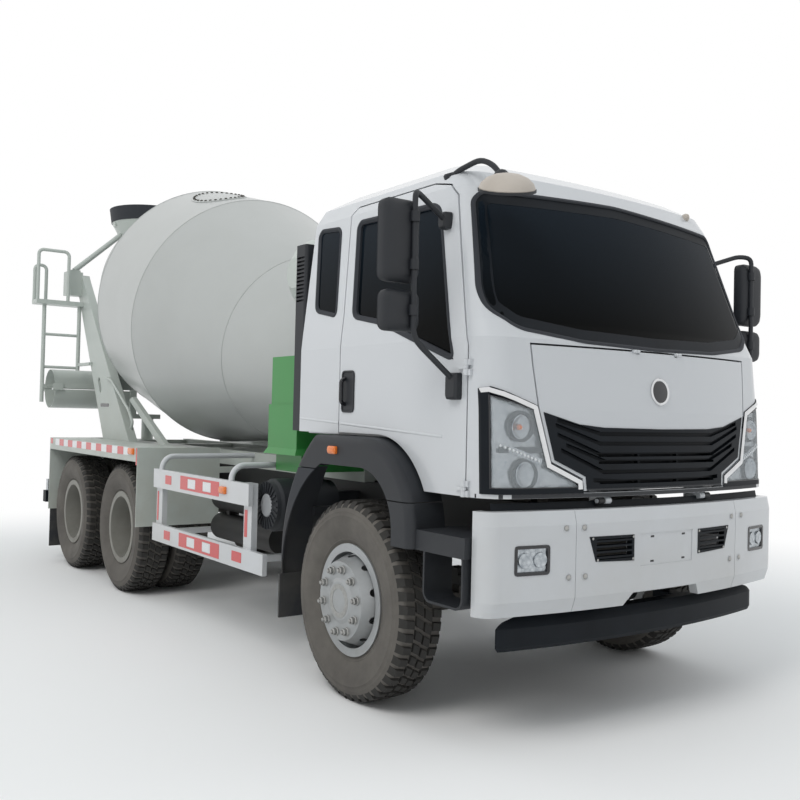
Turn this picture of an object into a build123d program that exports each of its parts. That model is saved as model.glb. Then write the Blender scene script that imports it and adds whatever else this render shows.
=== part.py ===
"""Concrete mixer truck, six-wheel chassis with a tilting cab-over cab.

Millimetres. X points forward, Y to the left, Z up. The origin lies on the ground
under the middle of the truck. Right-hand pieces have a negative Y.
"""

from build123d import *
import math
import os

os.makedirs("parts", exist_ok=True)

# Driving dimensions
front_axle_x = 2700
wheelbase = 3500
tandem_pitch = 1350
tyre_radius = 526
tyre_width = 278
rim_seat_radius = 262
rim_flange_radius = 295
rim_inner_radius = 252
rim_half_width = 100
front_track_half = 1021
twin_middle_y = 900
twin_half_spacing = 161

fit_gap = 0.3
pin_clearance = 0.05
moving_gap = 6

rear_axle_1_x = front_axle_x - wheelbase
rear_axle_2_x = rear_axle_1_x - tandem_pitch
bogie_x = (rear_axle_1_x + rear_axle_2_x) / 2
axle_z = tyre_radius

# Frame
rail_half_width = 430
rail_height = 280
rail_flange = 80
rail_thickness = 8
rail_bottom_z = 780
rail_top_z = rail_bottom_z + rail_height
rail_front_x = 3560
rail_rear_x = -3250
sub_rail_height = 120
sub_rail_width = 80
sub_front_x = 1750
tow_bore_radius = 25
tow_bore_z = 920
deck_z = rail_top_z + sub_rail_height

# Cab
cab_tilt_x = 3795
cab_tilt_z = 1118
tilt_pin_radius = 10
tilt_ear_radius = 16
tilt_ear_y = 390
bumper_top_z = 1085
cab_half_width = 1060
cab_wall = 60
cab_floor_z = 1390
cab_floor_thickness = 50
cab_bottom_z = 1140
front_arc_radius = 5000
corner_radius = 160
lid_split_z = 1850
lid_hinge_x = 3791
lid_hinge_z = 1853
lid_knuckle_radius = 9
lid_pin_radius = 4
door_knuckle_radius = 13
door_pin_radius = 7

# Drum
drum_tilt = 15
drum_axis_x = -200
drum_axis_z = 2135
drum_radius = 1114
drum_wall = 8
drum_rear_s = -1615
drum_seam_s = -663
drum_seam_2_s = 445
drum_seam_2_radius = 775
drum_head_s = 1330
drum_head_radius = 540
drum_mouth_s = -2950
drum_mouth_radius = 580
ring_s = -2330
ring_radius = 880
ring_width = 70
roller_radius = 125
roller_angle = 38
roller_gap = 0.3

# Chute pivot behind the frame
pivot_x = -3450
post_radius = 35
arm_top_z = 1450

ct = math.cos(math.radians(drum_tilt))
st = math.sin(math.radians(drum_tilt))
drum_origin = Vector(drum_axis_x, 0, drum_axis_z)
drum_axis = Vector(ct, 0, -st)


def on_drum_axis(s):
    """Point of the drum's axis, s millimetres forward and down from its middle."""
    return drum_origin + drum_axis * s


def box(x0, x1, y0, y1, z0, z1, mode=Mode.ADD):
    """Adds a block between two corners to the part that is open."""
    with Locations(((x0 + x1) / 2, (y0 + y1) / 2, (z0 + z1) / 2)):
        Box(abs(x1 - x0), abs(y1 - y0), abs(z1 - z0), mode=mode)


def rod(start, end, radius, mode=Mode.ADD):
    """Adds a round bar from one point to another."""
    start, end = Vector(start), Vector(end)
    with BuildSketch(Plane(origin=start, z_dir=end - start)) as section:
        Circle(radius)
    extrude(section.sketch, amount=(end - start).length, mode=mode)


def bent_tube(points, bend, radius):
    """Adds a round tube along a path with rounded corners."""
    with BuildLine() as path:
        FilletPolyline(*points, radius=bend)
    with BuildSketch(Plane(origin=path.line @ 0, z_dir=path.line % 0)) as section:
        Circle(radius)
    sweep(section.sketch, path=path.line)


def plate_xz(points, y0, y1, mode=Mode.ADD):
    """Adds a flat plate with an outline in side view, between two Y values."""
    with BuildSketch(Plane.XZ.offset(-y0)) as outline:
        with BuildLine():
            Polyline(*points, close=True)
        make_face()
    extrude(outline.sketch, amount=y0 - y1, mode=mode)


def turned(profile, origin, axis):
    """Adds a ring or disc: profile points are (distance along the axis, radius)."""
    axis = Vector(axis)
    plane = Plane(origin=origin, x_dir=axis, z_dir=axis.cross(Vector(0, 0, 1)).normalized())
    with BuildSketch(plane) as outline:
        with BuildLine():
            Polyline(*profile, close=True)
        make_face()
    revolve(outline.sketch, axis=Axis(origin, axis))


def finish(piece, name):
    piece.part.label = name
    export_step(piece.part, f"parts/{name}.step")


# Chassis frame: two channel rails and their cross members
cross_members = [
    # front x, rear x, bottom z, top z
    (3540, 3470, 910, 1050),
    (1480, 1400, 900, 1050),
    (600, 520, 800, 1050),
    (-240, -320, 800, 1050),
    (bogie_x + 60, bogie_x - 60, 790, 1050),
    (-2680, -2760, 800, 1050),
    (-3160, -3240, 790, 1050),
]

with BuildPart() as chassis_frame:
    for side in (-1, 1):
        outer = side * rail_half_width
        web = side * (rail_half_width - rail_thickness)
        lip = side * (rail_half_width - rail_flange)
        box(rail_rear_x, rail_front_x, outer, web, rail_bottom_z, rail_top_z)
        box(rail_rear_x, rail_front_x, outer, lip, rail_bottom_z, rail_bottom_z + rail_thickness)
        box(rail_rear_x, rail_front_x, outer, lip, rail_top_z - rail_thickness, rail_top_z)
        plate_xz(
            [(rail_front_x - 80, 960), (cab_tilt_x - 30, 960), (cab_tilt_x - 30, bumper_top_z - 10),
             (cab_tilt_x, cab_tilt_z - tilt_ear_radius + 3),
             (cab_tilt_x, cab_tilt_z + tilt_ear_radius - 3),
             (rail_front_x, rail_top_z), (rail_front_x - 80, rail_top_z)],
            side * tilt_ear_y, side * rail_half_width,
        )
        rod((cab_tilt_x, side * tilt_ear_y, cab_tilt_z),
            (cab_tilt_x, side * rail_half_width, cab_tilt_z), tilt_ear_radius)
        rod((cab_tilt_x, side * (tilt_ear_y - 1), cab_tilt_z),
            (cab_tilt_x, side * (rail_half_width + 1), cab_tilt_z),
            tilt_pin_radius + pin_clearance, Mode.SUBTRACT)
        box(2040, 2120, lip, outer, rail_top_z, cab_floor_z - fit_gap)
    inner = rail_half_width - rail_thickness
    for front, rear, low, high in cross_members:
        box(rear, front, -inner, inner, low, high)
    rod((rail_rear_x - 10, 0, tow_bore_z), (rail_rear_x + 90, 0, tow_bore_z), tow_bore_radius,
        Mode.SUBTRACT)
finish(chassis_frame, "chassis_frame")

# Mixer sub-frame on top of the rails
with BuildPart() as sub_frame:
    for side in (-1, 1):
        box(rail_rear_x, sub_front_x, side * rail_half_width,
            side * (rail_half_width - sub_rail_width), rail_top_z, deck_z)
    inner = rail_half_width - sub_rail_width
    for x in (sub_front_x - 50, 800, -100, -1000, -2000, rail_rear_x + 50):
        box(x - 50, x + 50, -inner, inner, rail_top_z + 10, deck_z - 10)
    box(pivot_x - 80, rail_rear_x, -130, 130, rail_top_z + 10, deck_z - 10)
    rod((pivot_x, 0, deck_z - 20), (pivot_x, 0, arm_top_z - 20), post_radius)
finish(sub_frame, "sub_frame")

# Engine as one block with its mounting feet on the rails
engine_front_x = 3230
engine_rear_x = 2230
engine_half_width = 330
engine_bottom_z = 690
engine_top_z = 1330
with BuildPart() as engine:
    box(engine_rear_x, engine_front_x, -engine_half_width, engine_half_width,
        engine_bottom_z, engine_top_z)
    for side in (-1, 1):
        for x in (engine_rear_x + 120, engine_front_x - 120):
            box(x - 45, x + 45, side * engine_half_width,
                side * (rail_half_width - rail_thickness), 860, 960)
        box(3290, 3350, side * engine_half_width, side * (rail_half_width - rail_thickness), 860, 960)
    box(3280, 3360, -engine_half_width, engine_half_width, 700, 1300)
finish(engine, "engine")

# Gearbox and propeller shafts
driveline_z = 760
casing_half = 215
with BuildPart() as driveline:
    with BuildSketch(Plane.YZ.offset(engine_rear_x)):
        with Locations((0, driveline_z + 130)):
            Rectangle(480, 520)
    with BuildSketch(Plane.YZ.offset(1500)):
        with Locations((0, driveline_z)):
            Rectangle(280, 260)
    loft(ruled=True)
    shaft_z = axle_z + 60
    rod((1510, 0, driveline_z), (rear_axle_1_x + casing_half + 30, 0, shaft_z), 55)
    rod((rear_axle_1_x - casing_half, 0, shaft_z), (rear_axle_2_x + casing_half, 0, shaft_z), 50)
    rod((rear_axle_1_x + casing_half, 0, shaft_z), (rear_axle_1_x + casing_half + 60, 0, shaft_z), 70)
finish(driveline, "driveline")

# Axles: dropped front beam with king-pin eyes, rear housings with round middle casings
hub_bore_radius = 50
king_pin_y = 850
king_pin_radius = 25
eye_radius = 55
eye_half_height = 65
with BuildPart() as axles:
    with BuildSketch(Plane.YZ.offset(front_axle_x - 45)):
        with BuildLine():
            Polyline(
                (-king_pin_y, axle_z - 50), (-620, axle_z - 110), (620, axle_z - 110),
                (king_pin_y, axle_z - 50), (king_pin_y, axle_z + 50), (560, axle_z - 20),
                (-560, axle_z - 20), (-king_pin_y, axle_z + 50), close=True,
            )
        make_face()
    extrude(amount=90)
    for side in (-1, 1):
        box(front_axle_x - 60, front_axle_x + 60, side * 350, side * 430, axle_z - 25, axle_z + 20)
        eye = (front_axle_x, side * king_pin_y, axle_z)
        rod(Vector(eye) - Vector(0, 0, eye_half_height), Vector(eye) + Vector(0, 0, eye_half_height),
            eye_radius)
        rod(Vector(eye) - Vector(0, 0, 90), Vector(eye) + Vector(0, 0, 90),
            king_pin_radius + pin_clearance, Mode.SUBTRACT)
    for x in (rear_axle_1_x, rear_axle_2_x):
        rod((x, -600, axle_z), (x, 600, axle_z), 75)
        rod((x, -twin_middle_y - 60, axle_z), (x, twin_middle_y + 60, axle_z),
            hub_bore_radius - pin_clearance)
        with Locations((x, 0, axle_z)):
            Sphere(215)
        with Locations((x, 0, axle_z + 60)):
            Box(2 * casing_half, 150, 150)
finish(axles, "axles")

# Leaf springs: front pair over the axle, rear pair turned over on the bogie trunnion
spring_width = 76
leaf_thickness = 14


def leaf_pack(x, y, half_lengths, end_z, middle_z, step):
    """Stacks curved leaves; step is the direction in which shorter leaves follow."""
    rise = end_z - middle_z
    longest = half_lengths[0]
    radius = (longest ** 2 + rise ** 2) / (2 * abs(rise))
    up = 1 if rise > 0 else -1
    centre_z = middle_z + up * radius
    for number, half in enumerate(half_lengths):
        inner = radius - up * step * number * leaf_thickness
        outer = inner - up * step * leaf_thickness
        low, high = min(inner, outer), max(inner, outer)
        with BuildSketch(Plane.XZ.offset(-(y - spring_width / 2))) as leaf:
            with BuildLine():
                def at(r, dx):
                    return (x + dx, centre_z - up * math.sqrt(r * r - dx * dx))
                ThreePointArc(at(low, -half), at(low, 0), at(low, half))
                Line(at(low, half), at(high, half))
                ThreePointArc(at(high, half), at(high, 0), at(high, -half))
                Line(at(high, -half), at(low, -half))
            make_face()
        extrude(leaf.sketch, amount=-spring_width)


rear_spring_y = 515
trunnion_z = 780
with BuildPart() as leaf_springs:
    for side in (-1, 1):
        y = side * 390
        seat_z = axle_z + 20
        leaves = [780, 640, 500, 360]
        top_z = seat_z + len(leaves) * leaf_thickness
        leaf_pack(front_axle_x, y, leaves, top_z + 110, top_z, -1)
        box(front_axle_x - 45, front_axle_x + 45, y - 38, y + 38, top_z, top_z + 40)
        for end in (-1, 1):
            x = front_axle_x + end * 770
            box(x - 30, x + 30, y - 38, y + 38, top_z + 105, rail_bottom_z)
        y = side * rear_spring_y
        leaf_pack(bogie_x, y, [675, 520, 360, 200], axle_z + 75 + 14, trunnion_z - 60, 1)
        box(bogie_x - 90, bogie_x + 90, y - 45, y + 45, trunnion_z - 75, trunnion_z + 60)
        rod((bogie_x, side * rail_half_width, trunnion_z + 10),
            (bogie_x, side * (rear_spring_y + 50), trunnion_z + 10), 45)
        box(bogie_x - 120, bogie_x + 120, side * rail_half_width, side * 462,
            rail_bottom_z + 5, rail_top_z - 40)
finish(leaf_springs, "leaf_springs")

# Steering knuckles with spindles
spindle_radius = 45
front_hub_inner_y = front_track_half - 90
for side, name in ((-1, "right"), (1, "left")):
    with BuildPart() as knuckle:
        pin = Vector(front_axle_x, side * king_pin_y, axle_z)
        up = Vector(0, 0, 1)
        rod(pin - up * 100, pin + up * 100, king_pin_radius)
        for end in (-1, 1):
            lug = eye_half_height + 1.5
            rod(pin + up * end * lug, pin + up * end * (lug + 32), eye_radius)
            box(front_axle_x - 40, front_axle_x + 40, pin.Y, side * (king_pin_y + 66),
                axle_z + end * lug, axle_z + end * (lug + 32))
        box(front_axle_x - 60, front_axle_x + 60, side * (king_pin_y + 60),
            side * (front_hub_inner_y - 3), axle_z - 99, axle_z + 99)
        rod((front_axle_x, side * (king_pin_y + 60), axle_z),
            (front_axle_x, side * (front_track_half + 60), axle_z), spindle_radius)
        box(front_axle_x - 260, front_axle_x - 40, side * (king_pin_y - 40), side * (king_pin_y + 20),
            axle_z - 99, axle_z - 70)
    finish(knuckle, f"knuckle_{name}")

# Wheels. Each table row: name, axle x, side, twin
wheels = [
    ("front_right", front_axle_x, -1, False),
    ("front_left", front_axle_x, 1, False),
    ("middle_right", rear_axle_1_x, -1, True),
    ("middle_left", rear_axle_1_x, 1, True),
    ("rear_right", rear_axle_2_x, -1, True),
    ("rear_left", rear_axle_2_x, 1, True),
]


def tyre_at(x, y):
    """Adds one solid tyre ring around a rim that is centred at y."""
    bead = rim_half_width - fit_gap
    seat = rim_seat_radius + fit_gap
    half = tyre_width / 2
    with BuildSketch(Plane(origin=(x, y, axle_z), x_dir=(0, 1, 0), z_dir=(1, 0, 0))) as ring:
        with BuildLine():
            Line((-bead, seat), (-bead, rim_flange_radius + 6))
            ThreePointArc((-bead, rim_flange_radius + 6), (-half, 400), (-half + 14, 492))
            Line((-half + 14, 492), (-half + 34, tyre_radius - 3))
            ThreePointArc((-half + 34, tyre_radius - 3), (0, tyre_radius),
                          (half - 34, tyre_radius - 3))
            Line((half - 34, tyre_radius - 3), (half - 14, 492))
            ThreePointArc((half - 14, 492), (half, 400), (bead, rim_flange_radius + 6))
            Line((bead, rim_flange_radius + 6), (bead, seat))
            Line((bead, seat), (-bead, seat))
        make_face()
    revolve(ring.sketch, axis=Axis((x, y, axle_z), (0, 1, 0)))


def barrel(middle):
    """Rim barrel with its two flanges, as (distance along the axle, radius)."""
    w = rim_half_width
    return [
        (middle - w - 10, rim_inner_radius), (middle - w - 10, rim_flange_radius),
        (middle - w, rim_flange_radius), (middle - w, rim_seat_radius),
        (middle + w, rim_seat_radius), (middle + w, rim_flange_radius),
        (middle + w + 10, rim_flange_radius), (middle + w + 10, rim_inner_radius),
    ]


disc_out = 165
disc_radius = 205
hand_hole_radius = 20
hand_hole_count = 10


def hand_holes(middle):
    """Cuts a ring of hand holes through the cone of a wheel disc."""
    for number in range(hand_hole_count):
        turn = 2 * math.pi * (number + 0.5) / hand_hole_count
        spoke = Vector(math.cos(turn), 0, math.sin(turn))
        rod(middle + spoke * (disc_radius - 15), middle + spoke * (rim_inner_radius - 2),
            hand_hole_radius, Mode.SUBTRACT)


for name, x, side, twin in wheels:
    if twin:
        middles = [twin_middle_y - twin_half_spacing, twin_middle_y + twin_half_spacing]
    else:
        middles = [front_track_half]
    with BuildPart() as tyre:
        for middle in middles:
            tyre_at(x, side * middle)
    finish(tyre, f"tyre_{name}")

    hub = Vector(x, 0, axle_z)
    outward = Vector(0, side, 0)
    with BuildPart() as rim:
        for middle in middles:
            turned(barrel(middle), hub, outward)
        if twin:
            m = twin_middle_y
            turned([(m, 100), (m, 205), (m + 70, rim_inner_radius + 1), (m + 84, rim_inner_radius + 1),
                    (m + 14, 205), (m + 14, 100)], hub, outward)
            turned([(m, 100), (m, 205), (m - 70, rim_inner_radius + 1), (m - 84, rim_inner_radius + 1),
                    (m - 14, 205), (m - 14, 100)], hub, outward)
            turned([(m - 14, hub_bore_radius), (m - 270, hub_bore_radius), (m - 270, 205),
                    (m - 100, 205), (m - 100, 120), (m - 14, 120), (m, 130), (m + 14, 130),
                    (m + 20, 100), (m + 100, 92), (m + 110, 80), (m + 110, 0), (m + 70, 0),
                    (m + 70, hub_bore_radius)], hub, outward)
            for offset_y in (-45, 45):
                hand_holes(hub + outward * (m + offset_y))
        else:
            m = front_track_half
            face = m + disc_out
            turned([(m + 30, rim_inner_radius + 1), (face - 12, disc_radius), (face - 12, 90), (face, 90),
                    (face, disc_radius), (m + 46, rim_inner_radius + 1)], hub, outward)
            turned([(m - 90, spindle_radius + pin_clearance), (m - 90, 205), (m + 10, 205),
                    (m + 10, 130), (face - 12, 120), (face, 120), (face + 8, 100), (face + 8, 0),
                    (m + 64, 0), (m + 64, spindle_radius + pin_clearance)],
                   hub, outward)
            hand_holes(hub + outward * (m + 46 + (disc_out - 46) * 0.45))
    finish(rim, f"rim_{name}")

# Cab body. Each table row: height, front middle x, half width, rear x
cab_rear_x = 1990
cab_levels = [
    (cab_bottom_z, 3838, cab_half_width, cab_rear_x),
    (1550, 3820, cab_half_width, cab_rear_x),
    (1880, 3788, cab_half_width, cab_rear_x),
    (1965, 3746, cab_half_width - 8, cab_rear_x),
    (2640, 3490, cab_half_width - 85, cab_rear_x),
    (2725, 3440, cab_half_width - 120, cab_rear_x + 50),
    (2800, 3300, cab_half_width - 240, cab_rear_x + 220),
]


def front_outline(front, half, rear, arc, corner):
    """Closed plan outline: straight sides, round front corners and a bowed front."""
    reach = arc - corner
    centre_x = front - arc + math.sqrt(reach ** 2 - (half - corner) ** 2)
    touch_x = front - arc + arc * (centre_x - front + arc) / reach
    touch_y = arc * (half - corner) / reach
    mid = Vector(touch_x - centre_x, touch_y - (half - corner)) + Vector(0, corner)
    mid = mid.normalized() * corner
    mid_x, mid_y = centre_x + mid.X, half - corner + mid.Y
    Line((rear, -half), (centre_x, -half))
    ThreePointArc((centre_x, -half), (mid_x, -mid_y), (touch_x, -touch_y))
    ThreePointArc((touch_x, -touch_y), (front, 0), (touch_x, touch_y))
    ThreePointArc((touch_x, touch_y), (mid_x, mid_y), (centre_x, half))
    Line((centre_x, half), (rear, half))
    Line((rear, half), (rear, -half))


def cab_block(inset):
    """The cab's whole volume, drawn in by inset on every side."""
    with BuildPart() as block:
        for number, (z, front, half, rear) in enumerate(cab_levels):
            if number == len(cab_levels) - 1:
                z = z - inset
            if number == 0:
                z = z - 200 * (inset > 0)
            with BuildSketch(Plane.XY.offset(z)):
                with BuildLine():
                    front_outline(front - inset, half - inset, rear + inset,
                                  front_arc_radius - inset, corner_radius - inset)
                make_face()
        loft(ruled=True)
    return block.part


def band(outer, inner):
    """The layer of the cab's skin between two insets."""
    with BuildPart() as layer:
        add(cab_block(outer))
        add(cab_block(inner), mode=Mode.SUBTRACT)
    return layer.part


# Wheel arch of the cab in side view: flat top, round front corner, straight front side
arch_top_z = cab_floor_z - fit_gap
arch_corner_x = 2820
arch_corner_radius = 460
arch_corner_z = arch_top_z - arch_corner_radius
arch_gap = 10
flare_outer_y = 1165
flare_inner_y = 950
flare_wall = 10
flare_round = 45
opening_drop = 158
flare_front_z = 1085
flare_rear_z = 1200
wing_split_x = 2600
wing_rear_x = 1975
wing_bottom_z = 560
wing_front_z = 866


def arch_prism(distance, half=1200):
    """A block through both sides of the cab with the arch's outline, grown by a distance."""
    top = arch_corner_z + arch_corner_radius + distance
    front = arch_corner_x + arch_corner_radius + distance
    with BuildPart() as cutter:
        rod((arch_corner_x, -half, arch_corner_z), (arch_corner_x, half, arch_corner_z),
            arch_corner_radius + distance)
        box(cab_rear_x - 100, arch_corner_x, -half, half, 300, top)
        box(cab_rear_x - 100, front, -half, half, 300, arch_corner_z)
    return cutter.part


def wing_block(drop, y0, y1, rounding):
    """Volume under one wing: drop lowers and narrows the outline, rounding softens its outer edge."""
    corner = arch_corner_radius - drop
    front = arch_corner_x + corner
    top = arch_corner_z + corner
    rear = 0.55 * drop
    heel = (wing_rear_x + 0.2 * drop, wing_bottom_z)
    shoulder = (2330 + 0.6 * drop, top)
    bend = (2108 + rear, 1150 - rear)
    diagonal = corner * math.sqrt(0.5)
    with BuildPart() as block:
        with BuildSketch(Plane.XZ.offset(-y0)) as side_view:
            with BuildLine():
                Line((front, wing_front_z), (front, arch_corner_z))
                ThreePointArc((front, arch_corner_z),
                              (arch_corner_x + diagonal, arch_corner_z + diagonal),
                              (arch_corner_x, top))
                Line((arch_corner_x, top), shoulder)
                ThreePointArc(shoulder, bend, heel)
                Polyline(heel, (heel[0], 500), (front, 500), (front, wing_front_z))
            make_face()
        extrude(side_view.sketch, amount=y0 - y1)
        if rounding:
            ends = [e for e in block.edges() if abs(abs(e.center().Y) - abs(y1)) < 0.5]
            ends = [e for e in ends if e.center().Z > 520 and not (
                abs(e.center().X - front) < 1 and e.center().Z < wing_front_z)]
            fillet(ends, rounding)
    return block.part


def wing_skin(side):
    """One wing: a rounded outer skin with an open wheel side and a lip around the wheel."""
    inner, outer = side * flare_inner_y, side * flare_outer_y
    with BuildPart() as wing:
        add(wing_block(0, inner, outer, flare_round))
        add(wing_block(flare_wall, side * (flare_inner_y - 20), side * (flare_outer_y - flare_wall),
                       flare_round - flare_wall), mode=Mode.SUBTRACT)
        add(wing_block(opening_drop, inner, side * (flare_outer_y + 20), 0), mode=Mode.SUBTRACT)
        box(1500, 3500, inner, outer, 400, wing_bottom_z, mode=Mode.SUBTRACT)
        box(wing_split_x, 3500, inner, outer, 400, wing_front_z, mode=Mode.SUBTRACT)
    return wing.part


# Outlines in side view, as (x, z)
door_gap = 8
door_front_x = 3562
door_hinge_x = door_front_x + 4
door_hinge_y = cab_half_width + door_knuckle_radius + fit_gap
door_range = 65
door_hinge_levels = [1180, 1740]
door_outline = [
    (door_front_x, 995), (door_front_x - 2, 1840), (3345, 2590), (3290, 2650), (3150, 2680),
    (2440, 2680), (2390, 2640), (2440, 2050), (2442, 1395), (2700, 1395), (3100, 995),
]
door_window = [
    (2535, 2045), (2828, 1991), (3455, 1775), (3235, 2540), (3180, 2570), (2500, 2590), (2475, 2560),
]
quarter_window = [
    (2112, 2110), (2330, 2068), (2345, 2090), (2290, 2560), (2265, 2585), (2070, 2600), (2045, 2570),
]


def prism(points, distance, half=1200):
    """A block through both sides of the cab, with a side-view outline grown by a distance."""
    with BuildPart() as cutter:
        with BuildSketch(Plane.XZ.offset(half)):
            with BuildLine():
                Polyline(*points, close=True)
            make_face()
            if distance:
                offset(amount=distance, kind=Kind.INTERSECTION)
        extrude(amount=-2 * half)
    return cutter.part


def front_prism(points, distance, rear_x=3000):
    """A block through the cab's front, with a front-view outline grown by a distance."""
    with BuildPart() as cutter:
        with BuildSketch(Plane.YZ.offset(rear_x)):
            with BuildLine():
                Polyline(*points, close=True)
            make_face()
            if distance:
                offset(amount=distance, kind=Kind.INTERSECTION)
        extrude(amount=1100)
    return cutter.part


def mirrored(points):
    """Closes a half outline, given from the middle line to the middle line, with its mirror image."""
    return points + [(-y, z) for y, z in reversed(points) if y > 0]


# Outlines in front view, as (y, z), left half
windscreen_half = [
    (0, 1868), (500, 1880), (860, 1925), (990, 2010), (1000, 2100), (925, 2570), (870, 2615), (0, 2650),
]
lid_gap = 9
lid_half = [
    (0, lid_split_z), (812, lid_split_z), (806, 1755), (784, 1545), (721, 1308), (540, 1228),
    (534, 1170), (0, 1170),
]
grille_half = [
    (0, 1466), (400, 1470), (560, 1484), (764, 1538), (706, 1316), (524, 1237), (519, 1180), (0, 1180),
]
lamp_outline = [
    (1049, 1640), (1020, 1650), (800, 1568), (793, 1543), (729, 1301), (549, 1221), (543, 1160),
    (1049, 1160),
]
pillar_zone = [(3600, 1800), (3900, 1800), (3900, 2700), (3345, 2700)]

lamp_rear_x = 3590
skin = band(0, cab_wall)
door_cut = prism(door_outline, door_gap)
door_body = prism(door_outline, 0)


def windscreen_prism(distance):
    with BuildPart() as cutter:
        add(front_prism(mirrored(windscreen_half), distance))
        add(prism(pillar_zone, distance), mode=Mode.INTERSECT)
    return cutter.part


with BuildPart() as cab_shell:
    add(skin)
    add(door_cut, mode=Mode.SUBTRACT)
    add(prism(quarter_window, 0), mode=Mode.SUBTRACT)
    add(windscreen_prism(0), mode=Mode.SUBTRACT)
    add(front_prism(mirrored(lid_half), lid_gap), mode=Mode.SUBTRACT)
    for side in (-1, 1):
        add(front_prism([(side * y, z) for y, z in lamp_outline], fit_gap, lamp_rear_x - fit_gap),
            mode=Mode.SUBTRACT)
    add(arch_prism(arch_gap), mode=Mode.SUBTRACT)
    with BuildSketch(Plane.XY.offset(cab_floor_z)):
        with BuildLine():
            front_outline(3730, cab_half_width - cab_wall - moving_gap, cab_rear_x,
                          front_arc_radius, corner_radius)
        make_face()
    extrude(amount=cab_floor_thickness)
    for side in (-1, 1):
        inside, outside = side * (tilt_ear_y - 46), side * (tilt_ear_y - moving_gap)
        box(cab_tilt_x - 95, cab_tilt_x - 55, inside, outside, cab_tilt_z - tilt_ear_radius,
            cab_floor_z + 10)
        box(cab_tilt_x - 95, cab_tilt_x, inside, outside, cab_tilt_z - tilt_ear_radius,
            cab_tilt_z + tilt_ear_radius)
        rod((cab_tilt_x, inside, cab_tilt_z), (cab_tilt_x, outside, cab_tilt_z), tilt_ear_radius)
        rod((cab_tilt_x, inside, cab_tilt_z), (cab_tilt_x, side * (rail_half_width + 6), cab_tilt_z),
            tilt_pin_radius)
        rod((lid_hinge_x, side * 157, lid_hinge_z), (lid_hinge_x, side * 190, lid_hinge_z),
            lid_knuckle_radius + 5, Mode.SUBTRACT)
        box(lid_hinge_x - 45, lid_hinge_x - 4, side * 140, side * 160, lid_hinge_z,
            lid_split_z + 20)
        rod((lid_hinge_x, side * 140, lid_hinge_z), (lid_hinge_x, side * 160, lid_hinge_z),
            lid_knuckle_radius)
        rod((lid_hinge_x, side * 150, lid_hinge_z), (lid_hinge_x, side * 190, lid_hinge_z),
            lid_pin_radius)
        y = side * door_hinge_y
        for z in door_hinge_levels:
            for low, high in ((z - 40, z - 12), (z + 6, z + 34)):
                rod((door_hinge_x, y, low), (door_hinge_x, y, high), door_knuckle_radius)
                box(door_hinge_x, door_hinge_x + 30, y - side * 24, y, low, high)
            rod((door_hinge_x, y, z - 30), (door_hinge_x, y, z + 30), door_pin_radius)
finish(cab_shell, "cab_shell")

glass_layer = band(8, 14)
with BuildPart() as windscreen:
    add(glass_layer)
    add(windscreen_prism(-fit_gap), mode=Mode.INTERSECT)
with BuildPart() as quarter_glass:
    add(glass_layer)
    add(prism(quarter_window, -fit_gap), mode=Mode.INTERSECT)
with BuildPart() as cab_glass:
    add(windscreen.part)
    add(quarter_glass.part)
finish(cab_glass, "cab_glass")

for side, name in ((-1, "right"), (1, "left")):
    with BuildPart() as door:
        add(skin)
        add(door_body, mode=Mode.INTERSECT)
        add(prism(door_window, 0), mode=Mode.SUBTRACT)
        box(1900, 3900, 0, -side * 1200, 900, 2900, mode=Mode.SUBTRACT)
        add(arch_prism(arch_gap + moving_gap), mode=Mode.SUBTRACT)
        with BuildSketch(Plane.XY.offset(900)):
            with BuildLine():
                Polyline(
                    (door_hinge_x, side * cab_half_width), (door_hinge_x, side * 700),
                    (door_hinge_x - 360, side * 700), close=True,
                )
            make_face()
        extrude(amount=1900, mode=Mode.SUBTRACT)
        y = side * door_hinge_y
        for z in door_hinge_levels:
            rod((door_hinge_x, y, z - 11), (door_hinge_x, y, z + 5), door_knuckle_radius)
            box(door_hinge_x - 60, door_hinge_x, y, side * cab_half_width, z - 11, z + 5)
            rod((door_hinge_x, y, z - 20), (door_hinge_x, y, z + 20),
                door_pin_radius + pin_clearance, Mode.SUBTRACT)
    finish(door, f"door_{name}")
    with BuildPart() as door_glass:
        add(band(20, 26))
        add(prism(door_window, -fit_gap), mode=Mode.INTERSECT)
        box(1900, 3900, 0, -side * 1200, 900, 2900, mode=Mode.SUBTRACT)
    finish(door_glass, f"door_glass_{name}")

# Front lid with the grille set into it
with BuildPart() as front_lid:
    add(skin)
    add(front_prism(mirrored(lid_half), 0), mode=Mode.INTERSECT)
    add(front_prism(mirrored(grille_half), fit_gap), mode=Mode.SUBTRACT)
    for side in (-1, 1):
        rod((lid_hinge_x, side * 135, lid_hinge_z), (lid_hinge_x, side * 162, lid_hinge_z),
            lid_knuckle_radius + 5, Mode.SUBTRACT)
        box(lid_hinge_x - 45, lid_hinge_x - 4, side * 162, side * 185, lid_split_z - 20,
            lid_hinge_z)
        rod((lid_hinge_x, side * 162, lid_hinge_z), (lid_hinge_x, side * 185, lid_hinge_z),
            lid_knuckle_radius)
        rod((lid_hinge_x, side * 150, lid_hinge_z), (lid_hinge_x, side * 200, lid_hinge_z),
            lid_pin_radius + pin_clearance, Mode.SUBTRACT)
finish(front_lid, "front_lid")

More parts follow.
